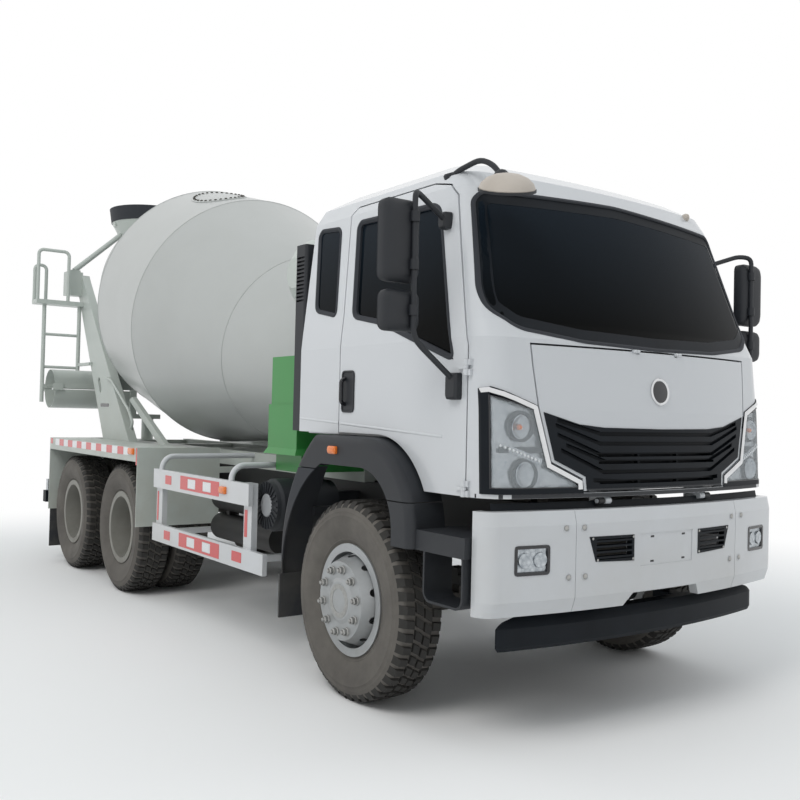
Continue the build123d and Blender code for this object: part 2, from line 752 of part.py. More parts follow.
# Louvres of the grille, bowed up at their ends. Each table row: height in the middle,
# half width, rise at the ends, half width of the slot behind it (0 is none)
louvre_rows = [
    (1430, 690, 62, 0), (1384, 700, 85, 0), (1330, 690, 95, 445), (1296, 640, 80, 445),
    (1248, 670, 105, 0), (1200, 480, 10, 440),
]
louvre_step = 20
louvre_depth = 16
louvre_slot = 12
louvre_flat = 0.62
slot_ribs = (-150, 150)
louvre_face = band(-8, louvre_depth)
with BuildPart() as grille:
    add(band(-4, 40))
    add(front_prism(mirrored(grille_half), 0), mode=Mode.INTERSECT)
    for z, half, rise, slot_half in louvre_rows:
        flat = half * louvre_flat
        ends = [(0, z), (flat, z), (half, z + rise), (half, z + rise + louvre_step),
                (flat, z + louvre_step), (0, z + louvre_step)]
        with BuildPart(mode=Mode.PRIVATE) as step:
            add(louvre_face)
            add(front_prism(mirrored(ends), 0), mode=Mode.INTERSECT)
        add(step.part, mode=Mode.SUBTRACT)
        if slot_half:
            left, right = slot_ribs
            for y0, y1 in ((-slot_half, left - 8), (left + 8, right - 8), (right + 8, slot_half)):
                box(3500, 3950, y0, y1, z, z + louvre_slot, mode=Mode.SUBTRACT)
finish(grille, "grille")

# Headlamp bowls. Each table row: distance from the middle, height, outer and inner radius
lamp_bezel = 26
lamp_recess = 24
lamp_bowls = [(885, 1470, 72, 58), (868, 1248, 74, 60)]
lamp_strip_z = 1362
with BuildPart() as headlamps:
    for side in (-1, 1):
        outline = [(side * y, z) for y, z in lamp_outline]
        with BuildPart(mode=Mode.PRIVATE) as recess:
            add(band(-10, lamp_recess))
            add(front_prism(outline, -lamp_bezel, lamp_rear_x), mode=Mode.INTERSECT)
        with BuildPart(mode=Mode.PRIVATE) as lamp:
            add(band(-6, 50))
            add(front_prism(outline, 0, lamp_rear_x), mode=Mode.INTERSECT)
            add(recess.part, mode=Mode.SUBTRACT)
        with BuildPart(mode=Mode.PRIVATE) as bowls:
            for y, z, outer, inner in lamp_bowls:
                rod((3600, side * y, z), (3950, side * y, z), outer)
                rod((3600, side * y, z), (3950, side * y, z), inner, Mode.SUBTRACT)
            box(3600, 3950, side * 760, side * 990, lamp_strip_z - 14, lamp_strip_z + 14)
            add(band(2, 40), mode=Mode.INTERSECT)
        add(lamp.part)
        for bowl in bowls.part.solids():
            add(bowl)
finish(headlamps, "headlamps")

# Arch flares on the cab: the part of each wing that tilts with it
wings = {side: wing_skin(side) for side in (-1, 1)}
with BuildPart() as cab_flares:
    for side in (-1, 1):
        with BuildPart(mode=Mode.PRIVATE) as flare:
            add(wings[side])
            box(1500, wing_split_x, 0, side * 1300, 300, flare_rear_z + moving_gap / 2,
                mode=Mode.SUBTRACT)
            box(wing_split_x, 3600, 0, side * 1300, 300, flare_front_z + moving_gap / 2,
                mode=Mode.SUBTRACT)
        add(flare.part)
        for x in (2420, 2900):
            box(x - 15, x + 15, side * flare_inner_y, side * 990, arch_top_z - flare_wall - 4,
                cab_floor_z)
finish(cab_flares, "cab_flares")

# Seats and dashboard
with BuildPart() as seats:
    for y in (-560, 0, 560):
        box(2300, 2780, y - 230, y + 230, cab_floor_z + cab_floor_thickness, 1860)
        box(2180, 2330, y - 230, y + 230, 1700, 2420)
finish(seats, "seats")

with BuildPart() as dashboard:
    plate_xz([(3300, 1850), (3560, 1850), (3560, 1500), (3370, 1500)], -900, 900)
    box(3400, 3560, -700, 700, cab_floor_z + cab_floor_thickness, 1500)
    steering_wheel_x = 3120
    column = Vector(-0.5, 0, 0.866)
    centre = Vector(steering_wheel_x, 560, 2000)
    rod(centre - column * 30, centre - column * 530, 25)
    rod(centre - column * 32, centre + column * 8, 60)
    with BuildSketch(Plane(origin=centre, x_dir=(0.866, 0, 0.5), z_dir=(0, 1, 0))) as rim_section:
        with Locations((215, 0)):
            Circle(14)
    revolve(rim_section.sketch, axis=Axis(centre, column))
    rod(centre + Vector(0, -205, 0), centre + Vector(0, 205, 0), 12)
finish(dashboard, "dashboard")

# Front bumper. Each table row: height, front middle x
bumper_half = 1092
bumper_rear_x = 3658
bumper_wall = 50
bumper_corner = 85
bumper_levels = [(612, 3852), (680, 3875), (1020, 3877), (bumper_top_z, 3862)]
fog_outline = [(764, 800), (946, 800), (946, 930), (764, 930)]
vent_outline = [(246, 830), (494, 839), (535, 958), (247, 956)]


notch_outline = [(-330, 560), (-243, 674), (243, 674), (330, 560)]
plate_outline = [(-200, 800), (200, 800), (200, 958), (-200, 958)]
plate_depth = 4
seam_y = 613
seam_width = 3
seam_depth = 5


def bumper_block(inset, rear_x):
    """The bumper's whole volume, drawn in by inset at its front and sides."""
    with BuildPart() as block:
        for z, front in bumper_levels:
            with BuildSketch(Plane.XY.offset(z)):
                with BuildLine():
                    front_outline(front - inset, bumper_half - inset, rear_x,
                                  front_arc_radius - inset, bumper_corner - inset)
                make_face()
        loft(ruled=True)
    return block.part


def bumper_face(depth, outline):
    """The outer layer of the bumper within a front-view outline."""
    with BuildPart() as face:
        add(bumper_block(-20, bumper_rear_x))
        add(bumper_block(depth, bumper_rear_x - 10), mode=Mode.SUBTRACT)
        add(front_prism(outline, 0, bumper_rear_x + 20), mode=Mode.INTERSECT)
    return face.part


def prism_seam(side):
    """The groove between the bumper's middle and one end piece."""
    y0, y1 = side * (seam_y - seam_width / 2), side * (seam_y + seam_width / 2)
    return bumper_face(seam_depth, [(y0, 590), (y1, 590), (y1, 1110), (y0, 1110)])


with BuildPart() as bumper:
    add(bumper_block(0, bumper_rear_x))
    add(bumper_block(bumper_wall, bumper_rear_x - 10), mode=Mode.SUBTRACT)
    add(front_prism(notch_outline, 0, bumper_rear_x - 40), mode=Mode.SUBTRACT)
    add(bumper_face(plate_depth, plate_outline), mode=Mode.SUBTRACT)
    for side in (-1, 1):
        for outline in (fog_outline, vent_outline):
            add(front_prism([(side * y, z) for y, z in outline], 0, bumper_rear_x + 20),
                mode=Mode.SUBTRACT)
        add(prism_seam(side), mode=Mode.SUBTRACT)
        box(rail_front_x, 3830, side * 360, side * 300, 792, 824)
        box(rail_front_x - 60, rail_front_x, side * (rail_half_width - rail_thickness),
            side * 300, 792, 824)
finish(bumper, "bumper")

# Louvred inserts of the bumper's two vents
vent_slats = [856, 882, 908, 934]
vent_slat_height = 9
with BuildPart() as bumper_vents:
    for side in (-1, 1):
        outline = [(side * y, z) for y, z in vent_outline]
        with BuildPart(mode=Mode.PRIVATE) as insert:
            add(bumper_block(-3, bumper_rear_x))
            add(bumper_block(30, bumper_rear_x - 10), mode=Mode.SUBTRACT)
            add(front_prism(outline, -fit_gap, bumper_rear_x + 20), mode=Mode.INTERSECT)
            low, high = side * 262, side * 492
            for z, above in zip([842] + vent_slats, vent_slats + [948]):
                box(3600, 3950, low, high, z + vent_slat_height / 2, above - vent_slat_height / 2,
                    mode=Mode.SUBTRACT)
        add(insert.part)
finish(bumper_vents, "bumper_vents")

# Black under-run bar below the bumper and the rear bumper tube.
# Each table row: height, front middle x
bar_levels = [(441, 3790), (460, 3800), (545, 3800), (590, 3765)]
bar_half = 1010
bar_corner = 110
bar_depth = 70
bar_rear_x = 3540
bar_end_x = 3690
tail_x = -3470
rear_tube_z = 560
rear_tube_half = 60
with BuildPart() as underrun_bars:
    box(tail_x - 30, tail_x + 70, -1100, 1100, rear_tube_z - rear_tube_half,
        rear_tube_z + rear_tube_half)
    for side in (-1, 1):
        box(tail_x + 70, -3180, side * 350, side * 430, 500, rail_bottom_z)
    for inset, rear_x, mode in ((0, bar_rear_x, Mode.ADD), (bar_depth, bar_rear_x - 10, Mode.SUBTRACT)):
        levels = []
        for z, front in bar_levels:
            with BuildSketch(Plane.XY.offset(z)) as level:
                with BuildLine():
                    front_outline(front - inset, bar_half - inset, rear_x,
                                  front_arc_radius - inset, bar_corner - inset)
                make_face()
            levels.append(level.sketch)
        loft(levels, ruled=True, mode=mode)
    box(bar_rear_x - 20, bar_end_x, -bar_half - 10, bar_half + 10, 400, 620, mode=Mode.SUBTRACT)
    for side in (-1, 1):
        box(3500, 3725, side * 350, side * 422, 470, 575)
        box(3500, 3560, side * 350, side * 422, 470, rail_bottom_z)
finish(underrun_bars, "underrun_bars")

# Fog lamps set into the bumper, and the tail lamps on the rear bumper
with BuildPart() as fog_lamp:
    add(bumper_block(6, bumper_rear_x))
    add(bumper_block(bumper_wall - 5, bumper_rear_x - 10), mode=Mode.SUBTRACT)
    add(front_prism(fog_outline, -fit_gap, bumper_rear_x + 20), mode=Mode.INTERSECT)
with BuildPart() as bumper_lamps:
    add(fog_lamp.part)
    add(mirror(fog_lamp.part, about=Plane.XZ, mode=Mode.PRIVATE))
    for side in (-1, 1):
        box(tail_x, tail_x + 70, side * 700, side * 1080, rear_tube_z + rear_tube_half,
            rear_tube_z + rear_tube_half + 120)
finish(bumper_lamps, "bumper_lamps")

# Steps below the doors: a moulded tread that runs into the wing, and a hanging stirrup
step_front_x = 3650
step_rear_x = 3170
step_outer_y = 1128
tread_z = 962
stirrup_wall = 12
stirrup_half = 150
stirrup_x = 3492
stirrup_bottom_z = 630
stirrup_round = 55
with BuildPart() as steps:
    for side in (-1, 1):
        with BuildPart(mode=Mode.PRIVATE) as wing_foot:
            add(wings[side])
            box(1500, wing_split_x, 0, side * 1300, 300, 1500, mode=Mode.SUBTRACT)
            box(wing_split_x, 3600, 0, side * 1300, flare_front_z - moving_gap / 2, 1500,
                mode=Mode.SUBTRACT)
        add(wing_foot.part)
        box(arch_corner_x + arch_corner_radius - 30, step_front_x, side * 760, side * step_outer_y,
            wing_front_z, tread_z)
        with BuildSketch(Plane.XZ.offset(-side * 960)) as stirrup:
            with Locations((stirrup_x, (stirrup_bottom_z + wing_front_z) / 2 + 20)):
                RectangleRounded(2 * stirrup_half, wing_front_z - stirrup_bottom_z + 40, stirrup_round)
                RectangleRounded(2 * (stirrup_half - stirrup_wall),
                                 wing_front_z - stirrup_bottom_z + 40 - 2 * stirrup_wall,
                                 stirrup_round - stirrup_wall, mode=Mode.SUBTRACT)
        extrude(stirrup.sketch, amount=-side * (step_outer_y - 960))
        box(3450, 3530, side * rail_half_width, side * 770, 880, 950)
finish(steps, "steps")

# Mud flaps behind the front and the rear wheels
rear_guard_x = -2720
with BuildPart() as mud_flaps:
    for side in (-1, 1):
        with BuildPart(mode=Mode.PRIVATE) as rear_wing:
            add(wings[side])
            box(wing_split_x, 3600, 0, side * 1300, 300, 1500, mode=Mode.SUBTRACT)
            box(1500, wing_split_x, 0, side * 1300, flare_rear_z - moving_gap / 2, 1500,
                mode=Mode.SUBTRACT)
        add(rear_wing.part)
        box(wing_rear_x, wing_rear_x + 14, side * 830, side * flare_outer_y, 300,
            wing_bottom_z - fit_gap)
        box(2024, 2060, side * rail_half_width, side * (flare_inner_y + 30), 900, 950)
        box(rear_guard_x - 12, rear_guard_x, side * 1230, side * 600, 130, 560)
finish(mud_flaps, "mud_flaps")

# Side guards between the axles
guard_y = 1200
tube_z = 1158
tube_bend = 90
tube_radius = 20
with BuildPart() as side_guards:
    for side in (-1, 1):
        for x in (130, 1340):
            bent_tube([(x, side * (guard_y - 15), 1050), (x, side * (guard_y - 15), tube_z),
                       (x, side * (rail_half_width + fit_gap), tube_z)], tube_bend, tube_radius)
        box(0, 1620, side * guard_y, side * (guard_y - 30), 920, 1060)
        box(0, 1830, side * guard_y, side * (guard_y - 30), 520, 650)
        for x in (0, 1500):
            box(x, x + 110, side * (guard_y - 30), side * (guard_y - 70), 520, 1060)
            box(x + 30, x + 80, side * (guard_y - 70), side * 500, 560, 600)
            box(x + 30, x + 80, side * 500, side * rail_half_width, 560, 900)
finish(side_guards, "side_guards")

# Air tanks on the right, fuel tank on the left
with BuildPart() as side_tanks:
    for z in (640, 860):
        rod((300, -760, z), (1250, -760, z), 100)
    for x in (450, 1100):
        box(x - 25, x + 25, -700, -rail_half_width, 830, 900)
        box(x - 25, x + 25, -790, -730, 700, 800)
    with BuildSketch(Plane.YZ.offset(250)) as tank_section:
        with Locations((835, 720)):
            RectangleRounded(550, 360, 80)
    extrude(tank_section.sketch, amount=1150)
    for x in (500, 1100):
        box(x - 30, x + 30, 560, rail_half_width, 790, 890)
finish(side_tanks, "side_tanks")

# Air filter canister across the truck. Each table row: distance from the middle line, radius
filter_x = 1640
filter_z = 925
canister = [(640, 0), (640, 150), (700, 150), (700, 165), (1040, 165), (1060, 155), (1085, 150),
            (1085, 75), (1072, 70), (1072, 0)]
with BuildPart() as air_filter:
    turned(canister, Vector(filter_x, 0, filter_z), Vector(0, -1, 0))
    box(filter_x - 50, filter_x + 50, -645, -rail_half_width, 905, 1000)
finish(air_filter, "air_filter")

# Air intake stack behind the cab, on the cab's rear wall, with a louvred head
stack_slot_z = 2190
stack_slot_count = 12
stack_slot_pitch = 24
with BuildPart() as intake_stack:
    box(1800, 1930, -1010, -880, 1400, 2540)
    fillet(intake_stack.edges().filter_by(Axis.Z), 20)
    for number in range(stack_slot_count):
        z = stack_slot_z + number * stack_slot_pitch
        box(1820, 1910, -1020, -992, z, z + 12, mode=Mode.SUBTRACT)
        box(1790, 1818, -990, -900, z, z + 12, mode=Mode.SUBTRACT)
    box(1930, cab_rear_x, -970, -920, 1700, 1760)
    box(1930, cab_rear_x, -970, -920, 2300, 2360)
finish(intake_stack, "intake_stack")

# Tool cabinet on its bracket
with BuildPart() as tool_cabinet:
    box(1390, 1745, -938, -660, 1550, 1870)
    box(1375, 1760, -950, -650, deck_z + 100, 1560)
    with BuildSketch(Plane.XY.offset(deck_z + 60)) as foot:
        with Locations((1565, -800)):
            Rectangle(430, 340)
    with BuildSketch(Plane.XY.offset(deck_z + 100)) as waist:
        with Locations((1567.5, -800)):
            Rectangle(385, 300)
    loft([foot.sketch, waist.sketch], ruled=True)
    box(1400, 1740, -900, -rail_half_width, deck_z - 50, deck_z + 60)
finish(tool_cabinet, "tool_cabinet")

# Water tank across the truck
water_tank_x = 1490
water_tank_z = 2428
water_tank_radius = 230
water_tank_half = 850
with BuildPart() as water_tank:
    turned([(-water_tank_half, 0), (-water_tank_half, 100), (-water_tank_half + 60, 190),
            (-water_tank_half + 120, water_tank_radius), (water_tank_half - 120, water_tank_radius),
            (water_tank_half - 60, 190), (water_tank_half, 100), (water_tank_half, 0)],
           Vector(water_tank_x, 0, water_tank_z), Vector(0, 1, 0))
    for side in (-1, 1):
        box(1560, 1640, side * 350, side * 430, deck_z, 2290)
finish(water_tank, "water_tank")

# Gearbox that carries and turns the drum's front end
gearbox_s = drum_head_s + 130
gearbox_radius = 200
stub_radius = 60
with BuildPart() as drum_gearbox:
    start = on_drum_axis(gearbox_s)
    rod(start, start + drum_axis * 260, gearbox_radius)
    rod(start + drum_axis * 260, start + drum_axis * 420, 90)
    rod(start, start + drum_axis * 80, stub_radius + pin_clearance, Mode.SUBTRACT)
finish(drum_gearbox, "drum_gearbox")

# Drum shell. Each table row: place along the axis, outside radius
drum_profile = [
    (drum_mouth_s, drum_mouth_radius), (drum_rear_s, drum_radius), (drum_seam_s, drum_radius),
    (drum_seam_2_s, drum_seam_2_radius), (drum_head_s, drum_head_radius),
    (drum_head_s + 90, drum_head_radius * 0.55),
]
with BuildPart() as drum:
    outside = drum_profile
    inside = [(s, r - drum_wall) for s, r in drum_profile[:-1]]
    nose = gearbox_s - fit_gap
    turned(outside + [(nose, 120), (nose, stub_radius), (nose + 78, stub_radius), (nose + 78, 0),
                      (gearbox_s - 60, 0),
                      (drum_head_s + 80, drum_head_radius * 0.5)] + inside[::-1],
           drum_origin, drum_axis)
    ring_inner = 800
    turned([(ring_s - ring_width / 2, ring_inner), (ring_s - ring_width / 2, ring_radius),
            (ring_s + ring_width / 2, ring_radius), (ring_s + ring_width / 2, ring_inner)],
           drum_origin, drum_axis)
finish(drum, "drum")

# Support rollers under the ring
roller_pin_radius = 20
roller_half_width = 45


def roller_middle(side):
    """Middle of the support roller on one side, in the ring's plane."""
    swing = math.radians(roller_angle)
    reach = ring_radius + roller_radius + roller_gap
    down = Vector(-st, 0, -ct)
    return on_drum_axis(ring_s) + (down * math.cos(swing) + Vector(0, side, 0) * math.sin(swing)) * reach


for side, name in ((-1, "right"), (1, "left")):
    middle = roller_middle(side)
    print(name, "roller at", middle)
    bore = roller_pin_radius + pin_clearance
    with BuildPart() as roller:
        turned([(-roller_half_width, bore), (-roller_half_width, roller_radius),
                (roller_half_width, roller_radius), (roller_half_width, bore)], middle, drum_axis)
    finish(roller, f"roller_{name}")

# Supports of the drum: front pedestal, rear legs, cross beam and roller brackets
beam_z = 1800
leg_y = 810
leg_box_rear_x = -3345
leg_box_top_z = 2950
with BuildPart() as drum_supports:
    for side in (-1, 1):
        plate_xz([(1150, deck_z), (1650, deck_z), (1560, 1690), (1330, 1690)],
                 side * 280, side * 350)
    plate = Plane(origin=on_drum_axis(gearbox_s + 190), x_dir=(0, 1, 0), z_dir=drum_axis)
    with BuildSketch(plate):
        with Locations((0, -90)):
            Rectangle(560, 480)
        Circle(gearbox_radius + fit_gap, mode=Mode.SUBTRACT)
    extrude(amount=40)
    for side in (-1, 1):
        plate_xz([(-1560, deck_z), (-2320, deck_z), (-3340, 2780), (-3210, 2920), (-3160, 2860)],
                 side * (leg_y - 40), side * (leg_y + 40))
        box(leg_box_rear_x, leg_box_rear_x + 140, side * (leg_y + 30), side * 1000, 2700, leg_box_top_z)
        with BuildSketch(Plane.XZ.offset(-side * 700)) as hole:
            with Locations((-2495, 1740)):
                SlotOverall(170, 66, rotation=-58)
        extrude(hole.sketch, amount=-side * 300, mode=Mode.SUBTRACT)
        plate_xz([(-730, deck_z), (-900, deck_z), (-1730, 1590), (-1650, 1620)],
                 side * (leg_y - 40), side * leg_y)
        box(-2320, -700, side * rail_half_width, side * (leg_y + 40), deck_z - 40, deck_z)
        middle = roller_middle(side)
        rod(middle - drum_axis * 90, middle + drum_axis * 90, roller_pin_radius)
        for end in (-1, 1):
            face = Plane(origin=middle + drum_axis * end * 52, x_dir=(0, 1, 0), z_dir=drum_axis)
            with BuildSketch(face) as lug:
                with Locations((0, 40)):
                    Rectangle(120, 270, align=(Align.CENTER, Align.MAX))
            extrude(lug.sketch, amount=end * 25)
    box(-2800, -2600, -leg_y + 40, leg_y - 40, beam_z - 100, beam_z)
finish(drum_supports, "drum_supports")

# Rear mudguards over both rear axles
guard_top_z = 1207
guard_inner_y = leg_y + 46
with BuildPart() as rear_mudguards:
    for side in (-1, 1):
        box(rear_guard_x, -230, side * 1250, side * guard_inner_y, guard_top_z - 8, guard_top_z)
        box(rear_guard_x, -230, side * 1250, side * 1242, 1095, guard_top_z)
        box(-238, -230, side * 1250, side * 560, 590, guard_top_z)
        box(rear_guard_x, rear_guard_x + 8, side * 1250, side * 560, 500, guard_top_z)
        for x in (-238, rear_guard_x):
            box(x, x + 8, side * 560, side * rail_half_width, 1000, 1050)
finish(rear_mudguards, "rear_mudguards")

# Ladder and platform at the right rear
ladder_x = -3160
with BuildPart() as ladder:
    rod((ladder_x, -1235, 1560), (ladder_x, -1235, 2600), 20)
    rod((ladder_x, -880, 1900), (ladder_x, -880, 2600), 20)
    for z in (1925, 2265):
        rod((ladder_x, -1235, z), (ladder_x, -880, z), 15)
    box(ladder_x - 120, ladder_x + 60, -1330, -leg_y - 40, 2575, 2620)
    box(ladder_x, -2760, -leg_y - 40, -885, 1945, 1975)
    for x, outer_y, inner_y, top_z in ((ladder_x + 40, -1315, -1012, 3135),
                                       (ladder_x - 100, -1315, -1200, 2990)):
        bent_tube([(x, outer_y, 2610), (x, outer_y, top_z), (x, inner_y, top_z), (x, inner_y, 2610)],
                  50, 17)
finish(ladder, "ladder")

# Charging hopper with its rubber rim, and the discharge funnel below the drum's mouth.
# Each table row: name, then (x, z, outside radius) at the lower end and at the upper end
hopper_x = -3470
hopper_foot_x = -3300
hopper_top_z = 3600
skin_thickness = 6
cones = {
    "hopper": ((hopper_foot_x, 3050, 220), (hopper_x, hopper_top_z, 440)),
    "rim": ((hopper_x, hopper_top_z, 448), (hopper_x, hopper_top_z + 150, 470)),
    "funnel": ((pivot_x, 1950, 130), (pivot_x + 30, 2250, 240)),
}


def cone(name):
    """Adds an open cone between two level circles."""
    for inset, mode in ((0, Mode.ADD), (skin_thickness, Mode.SUBTRACT)):
        rings = []
        for x, z, radius in cones[name]:
            with BuildSketch(Plane.XY.offset(z)) as ring:
                with Locations((x, 0)):
                    Circle(radius - inset)
            rings.append(ring.sketch)
        loft(rings, ruled=True, mode=mode)


with BuildPart() as hopper:
    cone("hopper")
    for side in (-1, 1):
        rod((-3280, side * 910, leg_box_top_z + 24), (-3424, side * 372, 3450), 28)
        box(-3335, -3225, side * 860, side * 960, leg_box_top_z + fit_gap, leg_box_top_z + 22)
        box(-3500, -3440, side * 438, side * 380, hopper_top_z - 60, hopper_top_z)
finish(hopper, "hopper")

with BuildPart() as hopper_rim:
    cone("rim")
finish(hopper_rim, "hopper_rim")

with BuildPart() as discharge_funnel:
    cone("funnel")
    for side in (-1, 1):
        rod((pivot_x + 160, side * 138, 2130), (-2870, side * 750, 2130), 20)
        box(-2900, -2820, side * (leg_y - 40), side * (leg_y - 80), 2090, 2170)
finish(discharge_funnel, "discharge_funnel")

# Discharge chutes
chute_z = 1700
chute_radius = 200
chute_start_y = 210
chute_end_y = 1080
tilt_y = 250
fold_y = chute_end_y + moving_gap / 2
fold_z = chute_z + moving_gap
extension_start_y = 360
trunnion_radius = 12
ear_side_x = chute_radius + moving_gap
fork_x = ear_side_x + moving_gap
with BuildPart() as swivel_arm:
    rod((pivot_x, 0, deck_z - 10 + fit_gap), (pivot_x, 0, arm_top_z), 65)
    box(pivot_x - fork_x - 24, pivot_x + fork_x + 24, -tilt_y - 35, 60, arm_top_z - 50, arm_top_z)
    for end in (-1, 1):
        inner, outer = pivot_x + end * fork_x, pivot_x + end * (fork_x + 24)
        box(inner, outer, -tilt_y - 35, -tilt_y + 35, arm_top_z - 50, chute_z + 30)
        rod((pivot_x + end * (chute_radius - 8), -tilt_y, chute_z), (outer, -tilt_y, chute_z),
            trunnion_radius)
    rod((pivot_x, 0, deck_z - 20), (pivot_x, 0, arm_top_z - 18), post_radius + pin_clearance,
        Mode.SUBTRACT)
finish(swivel_arm, "swivel_arm")

with BuildPart() as main_chute:
    with BuildSketch(Plane.XZ.offset(chute_start_y)):
        with Locations((pivot_x, chute_z)):
            Circle(chute_radius)
            Circle(chute_radius - skin_thickness, mode=Mode.SUBTRACT)
            Rectangle(600, 300, align=(Align.CENTER, Align.MIN), mode=Mode.SUBTRACT)
    extrude(amount=chute_end_y - chute_start_y)
    for end in (-1, 1):
        x0, x1 = pivot_x + end * (chute_radius - 6), pivot_x + end * ear_side_x
        rod((x0, -tilt_y, chute_z), (x1, -tilt_y, chute_z), 34)
        rod((x0 - end * 4, -tilt_y, chute_z), (x1 + end * 4, -tilt_y, chute_z),
            trunnion_radius + pin_clearance, Mode.SUBTRACT)
        x0, x1 = pivot_x + end * ear_side_x, pivot_x + end * (ear_side_x + 8)
        rod((x0, -fold_y, fold_z), (x1, -fold_y, fold_z), 24)
        box(pivot_x + end * (chute_radius - 4), x1, -chute_end_y, -fold_y + 24, fold_z - 36, fold_z - 12)
        rod((x0 - end * 4, -fold_y, fold_z), (x1 + end * 4, -fold_y, fold_z), 8 + pin_clearance,
            Mode.SUBTRACT)
finish(main_chute, "main_chute")

with BuildPart() as chute_extension:
    with BuildSketch(Plane.XZ.offset(extension_start_y)):
        with Locations((pivot_x, chute_z + 2 * moving_gap)):
            Circle(chute_radius)
            Circle(chute_radius - skin_thickness, mode=Mode.SUBTRACT)
            Rectangle(600, 300, align=(Align.CENTER, Align.MAX), mode=Mode.SUBTRACT)
    extrude(amount=chute_end_y - extension_start_y)
    for end in (-1, 1):
        x0, x1 = pivot_x + end * (chute_radius - 10), pivot_x + end * (ear_side_x + 22)
        plate_x = pivot_x + end * (ear_side_x + 14)
        box(x0, x1, -fold_y + 23, -fold_y + 83, fold_z + 29, fold_z + 54)
        box(plate_x, x1, -fold_y - 24, -fold_y + 83, fold_z - 16, fold_z + 54)
        rod((pivot_x + end * (ear_side_x - 2), -fold_y, fold_z), (x1, -fold_y, fold_z), 8)
finish(chute_extension, "chute_extension")

# Mirrors on the doors
mirror_x = 3430
mirror_y = 1300
for side, name in ((-1, "right"), (1, "left")):
    with BuildPart() as mirror_set:
        box(mirror_x - 45, mirror_x, side * (mirror_y - 20), side * (mirror_y + 150), 2140, 2500)
        box(mirror_x - 40, mirror_x, side * (mirror_y - 40), side * (mirror_y + 120), 1900, 2080)
        bent_tube([(3315, side * 1025, 2465), (mirror_x, side * mirror_y, 2540),
                   (mirror_x, side * mirror_y, 1860), (3480, side * (cab_half_width + 20), 1690)], 60, 14)
        box(3290, 3340, side * 960, side * 1045, 2425, 2500)
        add(cab_block(-fit_gap), mode=Mode.SUBTRACT)
        box(3440, 3520, side * (cab_half_width + fit_gap), side * (cab_half_width + 40), 1590, 1710)
    finish(mirror_set, f"mirror_{name}")

# Front mirror above the windscreen's right corner
with BuildPart() as front_mirror:
    rod((3350, -700, 2730), (3700, -760, 2560), 14)
    add(cab_block(-fit_gap), mode=Mode.SUBTRACT)
    with BuildSketch(Plane.XZ.offset(780)) as bowl:
        with BuildLine():
            Line((3740, 2435), (3880, 2435))
            ThreePointArc((3880, 2435), (3836, 2532), (3740, 2570))
            Line((3740, 2570), (3740, 2435))
        make_face()
    revolve(bowl.sketch, axis=Axis((3740, -780, 2500), (0, 0, 1)))
finish(front_mirror, "front_mirror")
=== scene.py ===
# %% [markdown]
# # A concrete mixer truck, dressed
# The truck's construction comes from CAD: every panel, wheel and chute is already at
# its real size and place. This notebook gives the pieces their paint, rubber, glass
# and small details, and then sets up the camera and the light.

# %% Load the frame
import bpy
import bmesh
import math
from mathutils import Matrix, Vector


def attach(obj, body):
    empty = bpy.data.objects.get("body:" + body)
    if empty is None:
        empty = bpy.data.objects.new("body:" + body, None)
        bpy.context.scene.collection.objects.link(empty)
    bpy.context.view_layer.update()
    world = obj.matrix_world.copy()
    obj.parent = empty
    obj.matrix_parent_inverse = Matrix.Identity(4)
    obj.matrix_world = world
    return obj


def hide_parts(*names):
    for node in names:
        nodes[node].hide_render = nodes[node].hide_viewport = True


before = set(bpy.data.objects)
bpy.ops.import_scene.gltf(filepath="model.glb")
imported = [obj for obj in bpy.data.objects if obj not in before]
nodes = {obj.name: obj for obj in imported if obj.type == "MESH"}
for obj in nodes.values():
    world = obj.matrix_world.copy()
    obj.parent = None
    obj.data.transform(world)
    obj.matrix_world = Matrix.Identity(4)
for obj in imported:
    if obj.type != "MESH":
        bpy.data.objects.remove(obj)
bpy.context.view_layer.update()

# %% [markdown]
# ## Camera
# The photograph was taken by a standing person at the right front of the truck. The
# place, aim, small roll and lens were worked out from the wheels, the bumper and the
# cab's edges. Writing the camera's three axes directly keeps the roll exact.

# %% Camera
yaw, pitch, roll = (math.radians(a) for a in (143.716, 1.371, 1.284))
aim = Vector((math.cos(pitch) * math.cos(yaw), math.cos(pitch) * math.sin(yaw), math.sin(pitch)))
level = Vector((math.sin(yaw), -math.cos(yaw), 0))
above = level.cross(aim)
right = level * math.cos(roll) + above * math.sin(roll)
up = above * math.cos(roll) - level * math.sin(roll)
camera_data = bpy.data.cameras.new("camera")
camera_data.sensor_width = 36
camera_data.lens = 41.67
camera_data.shift_x = -0.0215
camera_data.shift_y = -0.0092
camera_data.clip_end = 200
camera = bpy.data.objects.new("camera", camera_data)
bpy.context.scene.collection.objects.link(camera)
turn = Matrix((right, up, -aim)).transposed().to_4x4()
camera.matrix_world = Matrix.Translation((6.8723, -3.776, 1.5122)) @ turn
bpy.context.scene.camera = camera
print("camera at", camera.location)

# %% [markdown]
# ## Colours and nodes
# Colours are written as the eye reads them, in sRGB hex, and turned to the linear
# values that the renderer works with. One helper adds a node, sets its values and
# links its inputs, so that each material below reads as a short recipe.


# %% Helpers for materials
def linear(code):
    """Turns an sRGB hex colour into linear RGBA."""
    parts = [int(code[i:i + 2], 16) / 255 for i in (1, 3, 5)]
    return tuple(v / 12.92 if v <= 0.04045 else ((v + 0.055) / 1.055) ** 2.4 for v in parts) + (1,)


def node(tree, kind, links=None, **settings):
    """Adds one node. Settings are attributes or input values, links are sources by input."""
    made = tree.nodes.new(kind)
    for name, value in settings.items():
        label = name.replace("_", " ")
        if hasattr(made, name):
            setattr(made, name, value)
        elif label in made.inputs:
            made.inputs[label].default_value = value
        else:
            raise KeyError(f"{kind} has no {name}")
    for key, source in (links or {}).items():
        tree.links.new(source, made.inputs[key])
    return made


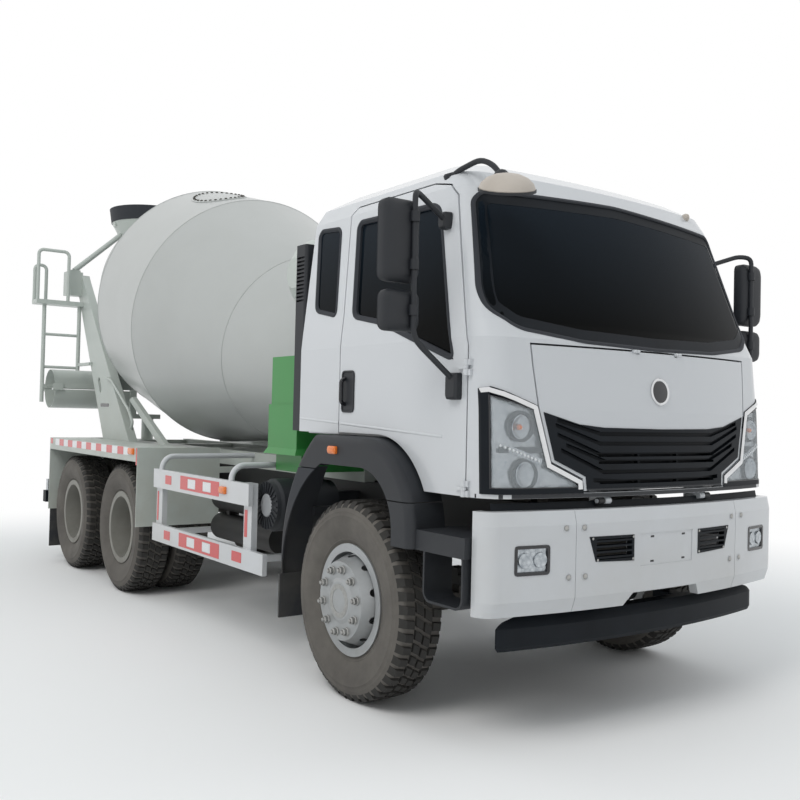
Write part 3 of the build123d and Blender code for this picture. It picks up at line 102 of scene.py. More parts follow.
def new_material(name, **shader_values):
    """Starts a material and returns it with its tree and its shader."""
    material = bpy.data.materials.new(name)
    material.use_nodes = True
    tree = material.node_tree
    shader = tree.nodes["Principled BSDF"]
    for key, value in shader_values.items():
        shader.inputs[key.replace("_", " ")].default_value = value
    return material, tree, shader


def object_place(tree):
    """Object coordinates: the pieces lie at the origin, so these are the truck's own metres."""
    return node(tree, "ShaderNodeTexCoord").outputs["Object"]


def two_tones(tree, shader, factor, first, second):
    """Mixes two colours by a pattern and feeds the base colour."""
    ramp = node(tree, "ShaderNodeValToRGB", {"Fac": factor})
    ramp.color_ramp.elements[0].color = linear(first)
    ramp.color_ramp.elements[1].color = linear(second)
    tree.links.new(ramp.outputs["Color"], shader.inputs["Base Color"])


def bump(tree, shader, height, distance, strength):
    """Raises a pattern by a distance in metres."""
    made = node(tree, "ShaderNodeBump", {"Height": height}, Strength=strength, Distance=distance)
    tree.links.new(made.outputs["Normal"], shader.inputs["Normal"])


def grain(material, scale, detail, distance, strength):
    """Lays a fine raised grain over a material, about 1/scale metres wide."""
    tree = material.node_tree
    fine = node(tree, "ShaderNodeTexNoise", {"Vector": object_place(tree)}, Scale=scale, Detail=detail)
    bump(tree, tree.nodes["Principled BSDF"], fine.outputs["Fac"], distance, strength)


def mottled(name, first, second, scale, detail, breakup=0.5, **shader_values):
    """A material that drifts between two tones in clouds, about 1/scale metres wide."""
    material, tree, shader = new_material(name, **shader_values)
    cloud = node(tree, "ShaderNodeTexNoise", {"Vector": object_place(tree)}, Scale=scale,
                 Detail=detail, Roughness=breakup)
    two_tones(tree, shader, cloud.outputs["Fac"], first, second)
    return material


def prismatic(name, first, second, scale, relief=None, **shader_values):
    """A material with a cell pattern, about 1/scale metres wide; relief is (distance, strength)."""
    material, tree, shader = new_material(name, **shader_values)
    cells = node(tree, "ShaderNodeTexVoronoi", {"Vector": object_place(tree)}, Scale=scale)
    two_tones(tree, shader, cells.outputs["Distance"], first, second)
    if relief:
        bump(tree, shader, cells.outputs["Distance"], *relief)
    return material


def dusty(name, clean, dust, low, high, amount, scale, **shader_values):
    """A material under road dust that thins out from the height low to the height high."""
    material, tree, shader = new_material(name, **shader_values)
    place = object_place(tree)
    height = node(tree, "ShaderNodeSeparateXYZ", {"Vector": place}).outputs["Z"]
    fade = node(tree, "ShaderNodeMapRange", {"Value": height}, From_Min=high, From_Max=low)
    cloud = node(tree, "ShaderNodeTexNoise", {"Vector": place}, Scale=scale, Detail=6.0, Roughness=0.6)
    spread = node(tree, "ShaderNodeMapRange", {"Value": cloud.outputs["Fac"]},
                  From_Min=0.35, From_Max=0.7, To_Min=0.15)
    both = node(tree, "ShaderNodeMath", {0: fade.outputs["Result"], 1: spread.outputs["Result"]},
                operation="MULTIPLY")
    share = node(tree, "ShaderNodeMath", {0: both.outputs["Value"]}, operation="MULTIPLY")
    share.inputs[1].default_value = amount
    share = share.outputs["Value"]
    mix = node(tree, "ShaderNodeMix", {"Factor": share}, data_type="RGBA")
    mix.inputs["A"].default_value = linear(clean)
    mix.inputs["B"].default_value = linear(dust)
    tree.links.new(mix.outputs["Result"], shader.inputs["Base Color"])
    rough = node(tree, "ShaderNodeMapRange", {"Value": share}, To_Max=0.8,
                 To_Min=shader.inputs["Roughness"].default_value)
    tree.links.new(rough.outputs["Result"], shader.inputs["Roughness"])
    return material


print("helpers ready")

# %% [markdown]
# ## Paints
# The cab is sprayed with white two-component enamel under a clear coat: it is smooth,
# bright and mirrors the sky softly. The drum and its frame have one thick coat of
# satin enamel, with the faint orange-peel of a wide spray gun and a bloom of cement
# dust that gathers low down.

# %% Paints
# Dust: clean and dusty tone, heights of full and no dust, most dust, clouds per metre
cab_paint = dusty("white_clearcoat_enamel", "#C9CCD0", "#B4B1AA", 0.55, 1.5, 0.45, 2.0,
                  Roughness=0.28, Coat_Weight=0.6, Coat_Roughness=0.06)
body_paint = dusty("pale_green_grey_enamel", "#B9C0BB", "#A29E92", 0.5, 2.2, 0.5, 4.0,
                   Roughness=0.42, Coat_Weight=0.15, Coat_Roughness=0.25)
green_paint = dusty("green_enamel", "#2A8438", "#6C8A62", 1.0, 1.9, 0.25, 6.0,
                    Roughness=0.4, Coat_Weight=0.2, Coat_Roughness=0.2)
frame_paint = dusty("black_chassis_enamel", "#131416", "#4E4A43", 0.2, 1.2, 0.35, 5.0, Roughness=0.5)
wheel_paint = dusty("silver_wheel_enamel", "#A9ACAE", "#7E7A71", 0.1, 1.0, 0.45, 7.0,
                    Roughness=0.36, Metallic=0.55)
dusty_wheel_paint = dusty("dusty_wheel_enamel", "#8F8E88", "#66625B", 0.0, 1.0, 0.7, 7.0,
                          Roughness=0.6, Metallic=0.15)
drum_paint = mottled("drum_satin_enamel", "#ACAFAD", "#BABDBC", 1.6, 8.0, 0.62,
                     Roughness=0.34, Coat_Weight=0.25, Coat_Roughness=0.2)
grain(drum_paint, 180.0, 2.0, 0.0004, 0.25)
print("paints ready")

# %% [markdown]
# ## Plastics and rubber
# Unpainted polypropylene trim has a fine leather grain and goes grey with dust. The
# grille, the vents and the under-run bar are black and dull enough to swallow the sky.
# The dome mirror's back is moulded in a warm grey that has bleached in the sun. Dried
# mud and wax bloom turn a tyre's side brown-grey, while the tread is rubbed clean.

# %% Plastics and rubber
trim_plastic = dusty("grained_polypropylene", "#1D2025", "#4E5052", 0.4, 1.6, 0.35, 5.0, Roughness=0.55)
grain(trim_plastic, 420.0, 2.0, 0.0006, 0.4)
flap_rubber = dusty("moulded_rubber", "#2A2D33", "#66625A", 0.1, 1.2, 0.6, 5.0, Roughness=0.7)
gloss_plastic = mottled("gloss_black_plastic", "#121317", "#1E2026", 7.0, 4.0,
                        Roughness=0.18, Coat_Weight=0.3)
black_plastic = mottled("dull_black_plastic", "#0D1014", "#1B2026", 5.0, 5.0,
                        Roughness=0.5, Specular_IOR_Level=0.15)
dome_plastic = mottled("bleached_dome_plastic", "#A59C92", "#C9C1B8", 5.0, 5.0, Roughness=0.5)
grey_plastic = mottled("grey_filter_cap", "#83868A", "#A9ABAD", 14.0, 5.0, Roughness=0.6)
side_rubber = mottled("dusty_sidewall_rubber", "#3F3C3A", "#77736D", 4.5, 8.0, 0.65, Roughness=0.85)
tyre_rubber = mottled("tyre_rubber", "#181818", "#3C3A37", 6.0, 8.0, 0.65, Roughness=0.78)
grain(tyre_rubber, 260.0, 3.0, 0.0008, 0.5)
print("plastics and rubber ready")

# %% [markdown]
# ## Metals, glass, film and cloth
# The castings under the truck are rough grey iron. Lamp housings are moulded and then
# metallised, which gives a bright, slightly milky mirror under a clear cover. The
# windows are tinted very dark, and their colour holds a painted reflection of the sky: a
# cool grey at the top that goes black lower down. Reflective film and lamp caps are
# clear plastic over a grid of tiny prisms. The seats have woven cloth.

# %% Metals, glass, film and cloth
iron = mottled("cast_iron", "#2C2B2A", "#5A5650", 90.0, 6.0, Roughness=0.7, Metallic=0.3)
grain(iron, 90.0, 6.0, 0.001, 0.4)
steel = mottled("turned_steel", "#8C8C8A", "#B9B9B6", 60.0, 3.0, Roughness=0.3, Metallic=1.0)
chrome = mottled("chrome_plate", "#C9CBCD", "#DEDFE0", 12.0, 2.0, Roughness=0.08, Metallic=1.0)
clear_lens = mottled("clear_polycarbonate", "#C9D2D8", "#E8EDF0", 9.0, 3.0,
                     Roughness=0.05, IOR=1.58, Alpha=0.2)
lamp_housing = prismatic("metallised_reflector", "#C4C9CD", "#8E959B", 45.0, (0.004, 0.6),
                         Roughness=0.24, Metallic=0.75)
red_tape = prismatic("red_reflective_film", "#B3242A", "#DB4A48", 240.0, Roughness=0.32,
                     Coat_Weight=0.5)
white_tape = prismatic("white_reflective_film", "#C9CCCF", "#EDEFF1", 240.0, Roughness=0.32,
                       Coat_Weight=0.5)
amber_cap = prismatic("amber_acrylic", "#C8501A", "#F08A2C", 240.0, Roughness=0.2, Coat_Weight=0.5)
red_cap = prismatic("red_acrylic", "#8C1418", "#C02A2A", 240.0, Roughness=0.2, Coat_Weight=0.5)

cab_glass, tree, shader = new_material("tinted_glass_painted_sky_reflection", Roughness=0.04, IOR=1.52, Alpha=0.96,
                                       Specular_IOR_Level=0.04)
# Painted reflection: the glass colour runs from black low down to the sky's cool grey at the top
height = node(tree, "ShaderNodeSeparateXYZ", {"Vector": object_place(tree)}).outputs["Z"]
painted_sky_reflection = node(tree, "ShaderNodeMapRange", {"Value": height}, From_Min=1.95, From_Max=2.75)
two_tones(tree, shader, painted_sky_reflection.outputs["Result"], "#030404", "#1E2730")

seat_cloth, tree, shader = new_material("woven_seat_cloth", Roughness=0.95, Sheen_Weight=0.3)
yarn = node(tree, "ShaderNodeTexWave", {"Vector": object_place(tree)}, Scale=90.0, Distortion=1.5)
two_tones(tree, shader, yarn.outputs["Fac"], "#26282C", "#3A3D42")
print("materials", len(bpy.data.materials))

# %% [markdown]
# ## Dress the CAD pieces
# Most pieces already have their real form, so they only need their finish. The table
# pairs each finish with the names of its pieces.

# %% Dress the CAD pieces
finishes = {
    cab_paint: ["cab_shell", "door_right", "door_left", "front_lid", "bumper", "side_guards"],
    drum_paint: ["drum"],
    body_paint: ["sub_frame", "drum_supports", "rear_mudguards", "ladder", "hopper", "water_tank",
                 "discharge_funnel", "swivel_arm", "main_chute", "chute_extension"],
    green_paint: ["tool_cabinet"],
    frame_paint: ["chassis_frame", "leaf_springs", "side_tanks"],
    black_plastic: ["grille", "bumper_vents", "underrun_bars", "headlamps"],
    trim_plastic: ["cab_flares", "steps", "air_filter", "intake_stack", "dashboard",
                   "mirror_right", "mirror_left"],
    dome_plastic: ["front_mirror"],
    flap_rubber: ["mud_flaps", "hopper_rim"],
    iron: ["engine", "driveline", "axles", "knuckle_right", "knuckle_left", "drum_gearbox"],
    steel: ["roller_right", "roller_left"],
    wheel_paint: ["rim_front_right", "rim_front_left"],
    dusty_wheel_paint: ["rim_middle_right", "rim_middle_left", "rim_rear_right", "rim_rear_left"],
    tyre_rubber: [name for name in nodes if name.startswith("tyre_")],
    cab_glass: ["cab_glass", "door_glass_right", "door_glass_left"],
    lamp_housing: ["bumper_lamps"],
    seat_cloth: ["seats"],
}
for material, names in finishes.items():
    for name in names:
        nodes[name].data.materials.clear()
        nodes[name].data.materials.append(material)
print("dressed", sum(len(n) for n in finishes.values()), "of", len(nodes), "nodes")

# %% [markdown]
# ## How the small pieces are made
# Every added piece is a closed shell, written in the truck's own millimetres and then
# turned to metres once. Four shapes do nearly all the work: a turned ring, a flat slab
# with an outline, a moulding that runs along an outline, and a round tube. Each gives
# back its corners and faces, so that several of them can be joined to one piece.


# %% Shapes
def shown(made, name, material):
    """Turns a bmesh into a smooth-shaded object at the origin."""
    bmesh.ops.recalc_face_normals(made, faces=made.faces)
    mesh = bpy.data.meshes.new(name)
    made.to_mesh(mesh)
    made.free()
    mesh.materials.append(material)
    mesh.polygons.foreach_set("use_smooth", [True] * len(mesh.polygons))
    result = bpy.data.objects.new(name, mesh)
    bpy.context.scene.collection.objects.link(result)
    return result


def piece(name, parts, material, body):
    """Joins (corners, faces) parts in mm to one piece in metres."""
    made = bmesh.new()
    for corners, faces in parts:
        placed = [made.verts.new(Vector(c) / 1000) for c in corners]
        for face in faces:
            if len(set(face)) > 2:
                made.faces.new([placed[i] for i in face])
    bmesh.ops.remove_doubles(made, verts=made.verts, dist=0.00002)
    result = shown(made, name, material)
    result.data.set_sharp_from_angle(angle=math.radians(32))
    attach(result, body)
    return result


def band(a, b, n):
    """Faces between two closed loops of n corners that start at the numbers a and b."""
    return [(a + k, b + k, b + (k + 1) % n, a + (k + 1) % n) for k in range(n)]


def turned(profile, origin, axis, sides=40):
    """Turns a closed loop of (distance along the axis, radius) round an axis."""
    axis = Vector(axis).normalized()
    first = axis.orthogonal().normalized()
    second = axis.cross(first)
    corners, faces, n = [], [], len(profile)
    for k in range(sides):
        turn = 2 * math.pi * k / sides
        spoke = first * math.cos(turn) + second * math.sin(turn)
        corners += [Vector(origin) + axis * along + spoke * radius for along, radius in profile]
        faces += band(k * n, (k + 1) % sides * n, n)
    return corners, faces


def rounded(points, radius, steps=5):
    """Rounds the corners of a closed outline."""
    result = []
    for i, here in enumerate(points):
        here = Vector(here)
        back, ahead = Vector(points[i - 1]) - here, Vector(points[(i + 1) % len(points)]) - here
        reach = min(radius, back.length * 0.48, ahead.length * 0.48)
        start, end = here + back.normalized() * reach, here + ahead.normalized() * reach
        for k in range(steps + 1):
            t = k / steps
            result.append(tuple(start * (1 - t) ** 2 + here * 2 * t * (1 - t) + end * t * t))
    return result


def rectangle(a0, a1, b0, b1, radius=0.1, steps=3):
    """The outline of a rectangle with rounded corners."""
    return rounded([(a0, b0), (a1, b0), (a1, b1), (a0, b1)], radius, steps)


def stacked(loops):
    """A closed skin over loops of equally many corners, capped at both ends."""
    n = len(loops[0])
    corners = [c for loop in loops for c in loop]
    faces = [tuple(range(n)), tuple(range(len(corners) - 1, len(corners) - n - 1, -1))]
    for i in range(len(loops) - 1):
        faces += band(i * n, (i + 1) * n, n)
    return corners, faces


def slab(outline, low, high, place):
    """A plate with an outline, from one height above a face to another."""
    return stacked([[place(a, b, height) for a, b in outline] for height in (low, high)])


def filled_in(outline, gap=120):
    """Adds points on the long runs of a closed outline, so that it can follow a bowed face."""
    result = []
    for a, b in zip(outline, outline[1:] + outline[:1]):
        steps = max(1, round((Vector(b) - Vector(a)).length / gap))
        result += [tuple(Vector(a).lerp(Vector(b), k / steps)) for k in range(steps)]
    return result


def sheet(outline, low, high, place, rows=14, columns=12):
    """A curved sheet inside an outline, from one height above a face to another."""
    z_low, z_high = min(z for y, z in outline), max(z for y, z in outline)
    loops = []
    for row in range(rows + 1):
        z = z_low + 1 + (z_high - z_low - 2) * row / rows
        hits = [y0 + (y1 - y0) * (z - z0) / (z1 - z0)
                for (y0, z0), (y1, z1) in zip(outline, outline[1:] + outline[:1])
                if (z0 - z) * (z1 - z) < 0]
        first, last = min(hits), max(hits)
        line = [first + (last - first) * k / columns for k in range(columns + 1)]
        loops.append([place(y, z, low) for y in line] + [place(y, z, high) for y in reversed(line)])
    return stacked(loops)


def moulding(outline, section, place, closed=True):
    """Runs a closed section of (distance outwards, height) along an outline on a face."""
    n, m = len(outline), len(section)
    area = sum(a[0] * b[1] - b[0] * a[1] for a, b in zip(outline, outline[1:] + outline[:1]))
    sense = 1 if area > 0 else -1
    corners, faces = [], []
    for i, here in enumerate(outline):
        here = Vector(here)
        back = here - Vector(outline[i - 1]) if closed or i else None
        ahead = Vector(outline[(i + 1) % n]) - here if closed or i < n - 1 else back
        back = back or ahead
        normals = [Vector((d.y, -d.x)).normalized() * sense for d in (back, ahead)]
        out = (normals[0] + normals[1]).normalized()
        out /= max(0.45, out.dot(normals[1]))
        corners += [place(*(here + out * distance), height) for distance, height in section]
    for i in range(n if closed else n - 1):
        faces += band(i * m, (i + 1) % n * m, m)
    if not closed:
        faces += [tuple(range(m)), tuple(range(n * m - 1, n * m - m - 1, -1))]
    return corners, faces


def tube(points, radius, bend=50, sides=12):
    """A round tube along a path with rounded corners."""
    points = [Vector(p) for p in points]
    path = [points[0]]
    for before, here, after in zip(points, points[1:], points[2:]):
        back, ahead = before - here, after - here
        reach = min(bend, back.length * 0.48, ahead.length * 0.48)
        start, end = here + back.normalized() * reach, here + ahead.normalized() * reach
        path += [start * (1 - t) ** 2 + here * 2 * t * (1 - t) + end * t * t
                 for t in (0, 0.25, 0.5, 0.75, 1)]
    path.append(points[-1])
    loops = []
    first = (path[1] - path[0]).normalized().orthogonal().normalized()
    for i, here in enumerate(path):
        ahead = (path[min(i + 1, len(path) - 1)] - path[max(i - 1, 0)]).normalized()
        first = (first - ahead * first.dot(ahead)).normalized()
        second = ahead.cross(first)
        loops.append([here + (first * math.cos(t) + second * math.sin(t)) * radius
                      for t in (2 * math.pi * k / sides for k in range(sides))])
    return stacked(loops)


both_sides = ((-1, "right"), (1, "left"))
print("shapes ready")

# %% [markdown]
# ## Where the faces of the truck are
# The cab's front and the bumper are large arcs in plan with round corners, and they
# lean back as they rise. The same few sizes as in the CAD give a point on them and the
# direction that it faces, so that a lamp strip or a bolt sits exactly on the panel.

# %% Faces of the cab and the bumper
# Each table row: height, front middle x, half width
cab_levels = [(1140, 3838, 1060), (1550, 3820, 1060), (1880, 3788, 1060), (1965, 3746, 1052),
              (2640, 3490, 975), (2725, 3440, 940), (2800, 3300, 820)]
bumper_levels = [(612, 3852, 1092), (680, 3875, 1092), (1020, 3877, 1092), (1085, 3862, 1092)]
front_arc = 5000


def at_height(levels, z):
    """Front middle x and half width at a height."""
    for (z0, x0, h0), (z1, x1, h1) in zip(levels, levels[1:]):
        if z <= z1:
            break
    share = (z - z0) / (z1 - z0)
    return x0 + (x1 - x0) * share, h0 + (h1 - h0) * share


def front_face(levels, corner):
    """Gives a function that places (y, z, height) on a bowed front with round corners."""
    def place(y, z, height):
        front, half = at_height(levels, z)
        centre_x = front - front_arc + math.sqrt((front_arc - corner) ** 2 - (half - corner) ** 2)
        touch_y = front_arc * (half - corner) / (front_arc - corner)
        side = 1 if y > 0 else -1
        y = min(abs(y), half)
        if y <= touch_y:
            centre, radius = Vector((front - front_arc, 0)), front_arc
        else:
            centre, radius = Vector((centre_x, half - corner)), corner
        x = centre.x + math.sqrt(max(0, radius ** 2 - (y - centre.y) ** 2))
        point = Vector((x, y)) + (Vector((x, y)) - centre).normalized() * height
        return Vector((point.x, side * point.y, z))
    return place


on_cab = front_face(cab_levels, 160)
on_bumper = front_face(bumper_levels, 85)


def on_cab_side(side):
    """Places (x, z, height) on the cab's leaning side."""
    return lambda x, z, height: Vector((x, side * (at_height(cab_levels, z)[1] + height), z))


def beside(side, y):
    """Places (x, z, height) on an upright face at a distance from the truck's middle."""
    return lambda x, z, height: Vector((x, side * (y + height), z))


print("front of the cab at lamp height", [round(v) for v in on_cab(900, 1400, 0)])

# %% [markdown]
# ## Repeats with Geometry Nodes
# Bolts, lamp dots and tread lugs are one small shape many times. A Geometry Nodes tree
# puts a copy on every point of a mesh and turns it along the attribute "facing". A
# second tree puts copies on a circle, each turned outwards. Changing one number then
# changes the whole ring. The result is made a plain mesh, because the export drops
# instances.


# %% Trees for repeats
def new_tree(name, inputs):
    """Starts a Geometry Nodes tree with named inputs."""
    tree = bpy.data.node_groups.new(name, "GeometryNodeTree")
    for label, kind in inputs:
        tree.interface.new_socket(label, in_out="INPUT", socket_type=kind)
    tree.interface.new_socket("Geometry", in_out="OUTPUT", socket_type="NodeSocketGeometry")
    return tree, tree.nodes.new("NodeGroupInput").outputs


def close_tree(tree, copies, finish):
    """Ends a tree: real copies with their finish."""
    real = node(tree, "GeometryNodeRealizeInstances", {"Geometry": copies})
    painted = node(tree, "GeometryNodeSetMaterial", {"Geometry": real.outputs["Geometry"],
                                                     "Material": finish})
    node(tree, "NodeGroupOutput", {"Geometry": painted.outputs["Geometry"]})


point_tree, given = new_tree("copies_on_points", [
    ("Geometry", "NodeSocketGeometry"), ("Shape", "NodeSocketObject"),
    ("Finish", "NodeSocketMaterial")])
shape = node(point_tree, "GeometryNodeObjectInfo", {"Object": given["Shape"]})
facing = node(point_tree, "GeometryNodeInputNamedAttribute", data_type="FLOAT_VECTOR", Name="facing")
direction = next(o for o in facing.outputs if o.enabled and o.name == "Attribute")
turn = node(point_tree, "FunctionNodeAlignRotationToVector", {"Vector": direction}, axis="Z")
copies = node(point_tree, "GeometryNodeInstanceOnPoints", {
    "Points": given["Geometry"], "Instance": shape.outputs["Geometry"],
    "Rotation": turn.outputs["Rotation"]})
close_tree(point_tree, copies.outputs["Instances"], given["Finish"])

ring_tree, given = new_tree("copies_on_ring", [
    ("Geometry", "NodeSocketGeometry"), ("Shape", "NodeSocketObject"), ("Count", "NodeSocketInt"),
    ("Radius", "NodeSocketFloat"), ("Phase", "NodeSocketFloat"), ("Finish", "NodeSocketMaterial")])
shape = node(ring_tree, "GeometryNodeObjectInfo", {"Object": given["Shape"]})
ring = node(ring_tree, "GeometryNodeMeshCircle",
            {"Vertices": given["Count"], "Radius": given["Radius"]})
number = node(ring_tree, "GeometryNodeInputIndex")
step = node(ring_tree, "ShaderNodeMath", {1: given["Count"]}, operation="DIVIDE")
step.inputs[0].default_value = 2 * math.pi
angle = node(ring_tree, "ShaderNodeMath", {0: number.outputs["Index"], 1: step.outputs["Value"]},
             operation="MULTIPLY")
outwards = node(ring_tree, "ShaderNodeCombineXYZ", {"Z": angle.outputs["Value"]})
copies = node(ring_tree, "GeometryNodeInstanceOnPoints", {
    "Points": ring.outputs["Mesh"], "Instance": shape.outputs["Geometry"],
    "Rotation": outwards.outputs["Vector"]})
start = node(ring_tree, "ShaderNodeCombineXYZ", {"Z": given["Phase"]})
turned_ring = node(ring_tree, "GeometryNodeTransform", {"Geometry": copies.outputs["Instances"],
                                                        "Rotation": start.outputs["Vector"]})
close_tree(ring_tree, turned_ring.outputs["Geometry"], given["Finish"])


def grown(tree, values, base=None):
    """Runs a tree with named inputs and gives the corners and faces that it makes."""
    carrier = bpy.data.objects.new("carrier", base or bpy.data.meshes.new("empty"))
    bpy.context.scene.collection.objects.link(carrier)
    shape = values.pop("Shape")
    mesh = bpy.data.meshes.new("shape")
    mesh.from_pydata([tuple(c) for c in shape[0]], [], [f for f in shape[1] if len(set(f)) > 2])
    pattern = bpy.data.objects.new("pattern", mesh)
    bpy.context.scene.collection.objects.link(pattern)
    modifier = carrier.modifiers.new("grow", "NODES")
    modifier.node_group = tree
    values["Shape"] = pattern
    for socket in tree.interface.items_tree:
        if socket.in_out == "INPUT" and socket.name in values:
            modifier[socket.identifier] = values[socket.name]
    grown_mesh = bpy.data.meshes.new_from_object(
        carrier.evaluated_get(bpy.context.evaluated_depsgraph_get()))
    result = ([v.co.copy() for v in grown_mesh.vertices],
              [tuple(p.vertices) for p in grown_mesh.polygons])
    carrier.modifiers.remove(modifier)
    for spare in (carrier, pattern):
        bpy.data.objects.remove(spare)
    bpy.data.meshes.remove(grown_mesh)
    return result


def on_points(shape, places, finish):
    """Copies of a shape, in mm, on (point, direction) places."""
    base = bpy.data.meshes.new("places")
    base.from_pydata([tuple(p) for p, d in places], [], [])
    facing = base.attributes.new("facing", "FLOAT_VECTOR", "POINT")
    for item, (p, d) in zip(facing.data, places):
        item.vector = Vector(d).normalized()
    return grown(point_tree, {"Shape": shape, "Finish": finish}, base)


def on_wheel(corners_faces, hub, side):
    """Turns what was made round Z so that it lies round a wheel's axle."""
    corners, faces = corners_faces
    return [Vector((hub[0] + x, hub[1] + side * z, hub[2] + y)) for x, y, z in corners], faces


bolt_head = turned([(0, 0), (0, 13), (3, 13), (7, 9), (9, 4), (9, 0)], (0, 0, 0), (0, 0, 1), 12)
small_screw = turned([(0, 0), (0, 6.5), (1.5, 6.5), (3.5, 3), (3.5, 0)], (0, 0, 0), (0, 0, 1), 10)
wheel_nut = turned([(0, 0), (0, 24), (5, 24), (8, 19), (24, 19), (28, 13), (36, 11), (38, 7), (38, 0)],
                   (0, 0, 0), (0, 0, 1), 6)
print("trees", point_tree.name, ring_tree.name)

# %% [markdown]
# ## Tyres
# A truck tyre for site work has two kinds of blocks: short ones in the middle that roll
# quietly, and long lugs that wrap over the shoulder and dig into mud. The carcass is
# turned from its section, with the raised rings that a mould leaves on the sidewall,
# and the lugs are repeated round it with a tree: 48 to a turn, about 69 mm apart. The
# two rows are half a step out of line.

# %% Tyres
tyre_radius, bead_half, tread_base = 526, 99.5, 512
lug_count = 48


def sidewall(radius):
    """Half width of the tyre at a radius, a smooth bulge through bead, belly and shoulder."""
    r0, r1, r2 = 301, 400, 492
    w0, w1, w2 = bead_half, 138.5, 125
    return (w0 * (radius - r1) * (radius - r2) / ((r0 - r1) * (r0 - r2))
            + w1 * (radius - r0) * (radius - r2) / ((r1 - r0) * (r1 - r2))
            + w2 * (radius - r0) * (radius - r1) / ((r2 - r0) * (r2 - r1)))


mould_rings = {301: 0, 308: 0, 311: 2.5, 317: 2.5, 320: 0, 345: 0, 375: 0, 410: 0, 438: 0, 441: 2,
               446: 2, 449: 0, 462: 0, 465: 1.5, 469: 0, 482: 0, 492: 0}
half_section = [(bead_half, 262.5)] + [(sidewall(r) + rise, r) for r, rise in mould_rings.items()]
half_section += [(116, 503), (104, 509), (60, 511), (0, tread_base)]
section = half_section + [(-w, r) for w, r in reversed(half_section[:-1])]


def lug(outline, half_length, skew):
    """A tread block from its (width, radius) outline; skew leans it along the tyre.

    Its corners lie on their true radius, so that no block reaches past the tyre's size.
    """
    corners = []
    middle = sum(abs(w) for w, r in outline) / len(outline)
    for end in (-1, 1):
        for w, r in outline:
            slope = skew * (abs(w) - middle) + end * (half_length - 0.12 * (r - tread_base))
            corners.append((math.sqrt(r * r - slope * slope) - tread_base, slope, w))
    n = len(outline)
    return stacked([corners[:n], corners[n:]])


shoulder_lug = [(56, 500), (58, 525.5), (104, 523), (113, 514), (126.5, 490), (130.5, 474), (118, 480),
                (100, 500)]
middle_block = [(6, 500), (6, 526), (47, 525.8), (49, 500)]
tread = []
for side in (-1, 1):
    for outline, half, skew in ((shoulder_lug, 21, 0.16), (middle_block, 24, 0.55)):
        outline = [(side * w, r) for w, r in outline]
        tread.append(grown(ring_tree, {
            "Shape": lug(outline, half, skew * side), "Count": lug_count, "Radius": float(tread_base),
            "Phase": math.pi / lug_count * (side > 0), "Finish": tyre_rubber}))
carcass = turned(section, (0, 0, 0), (0, 0, 1), 96)

# Each table row: name, axle x, side, distances of the tyres' middles from the truck's middle
wheel_rows = [
    ("front_right", 2700, -1, (1021,)), ("front_left", 2700, 1, (1021,)),
    ("middle_right", -800, -1, (739, 1061)), ("middle_left", -800, 1, (739, 1061)),
    ("rear_right", -2150, -1, (739, 1061)), ("rear_left", -2150, 1, (739, 1061)),
]
for name, x, side, middles in wheel_rows:
    hubs = [(x, side * middle, tyre_radius) for middle in middles]
    tyre = piece(f"carcass_{name}", [on_wheel(carcass, hub, side) for hub in hubs], side_rubber,
                 f"wheel_{name}")
    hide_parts(f"tyre_{name}")
    lugs = piece(f"tread_{name}", [on_wheel(row, hub, side) for hub in hubs for row in tread],
                 tyre_rubber, f"wheel_{name}")
print("tread triangles", sum(len(p.vertices) - 2 for p in lugs.data.polygons))

# %% [markdown]
# ## Wheel nuts
# Ten nuts hold each wheel. The front wheel's disc stands out, so its nuts show far from
# the truck's side. On the rear wheels they sit deep inside the dish. The nuts are
# placed with the tree that copies on points.

# %% Wheel nuts
nut_count, first_nut = 10, 0.16
# Sections of (distance from the truck's middle, radius)
front_hub_ring = [(1190, 60), (1196, 62), (1196, 88), (1190, 91)]
rear_hub_cap = [(1010, 0), (1010, 78), (1016, 70), (1019, 40), (1019, 0)]
for name, x, side, middles in wheel_rows:
    front = len(middles) == 1
    y, radius = (1186, 166) if front else (915, 160)
    places = []
    for number in range(nut_count):
        turn = 2 * math.pi * number / nut_count + first_nut
        places.append(((x + radius * math.cos(turn), side * y, tyre_radius + radius * math.sin(turn)),
                       (0, side, 0)))
    finish = steel if front else dusty_wheel_paint
    cap = front_hub_ring if front else rear_hub_cap
    piece(f"wheel_nuts_{name}", [on_points(wheel_nut, places, finish),
                                 turned(cap, (x, 0, tyre_radius), (0, side, 0))],
          finish, f"wheel_{name}")
print("nuts on", len(wheel_rows), "wheels")

# %% [markdown]
# ## Window seals and the windscreen's border
# Each pane is held by a black rubber seal that laps over the paint by a few
# millimetres, and the windscreen has a black border that hides its glue. All of them
# are a moulding that follows the opening's outline with rounded corners.

# %% Seals
# Outlines as (y, z) on the front and (x, z) on the side, sections as (outwards, height)
windscreen_half = [(500, 1880), (860, 1925), (990, 2010), (1000, 2100), (925, 2570), (870, 2615)]
windscreen = [(-y, z) for y, z in reversed(windscreen_half)] + [(0, 1868), *windscreen_half, (0, 2650)]
screen_line = filled_in(rounded(windscreen, 45))
screen_seal = [(9, 0.3), (7, 4), (-3, 5), (-10, -3), (-10, -7.5), (2, -7.5)]
screen_border = [(-9, -7.4), (-9, -6.6), (-62, -6.6), (-62, -7.4)]
piece("windscreen_seal", [moulding(screen_line, screen_seal, on_cab)], flap_rubber, "cab")
piece("windscreen_border", [moulding(screen_line, screen_border, on_cab)], black_plastic, "cab")

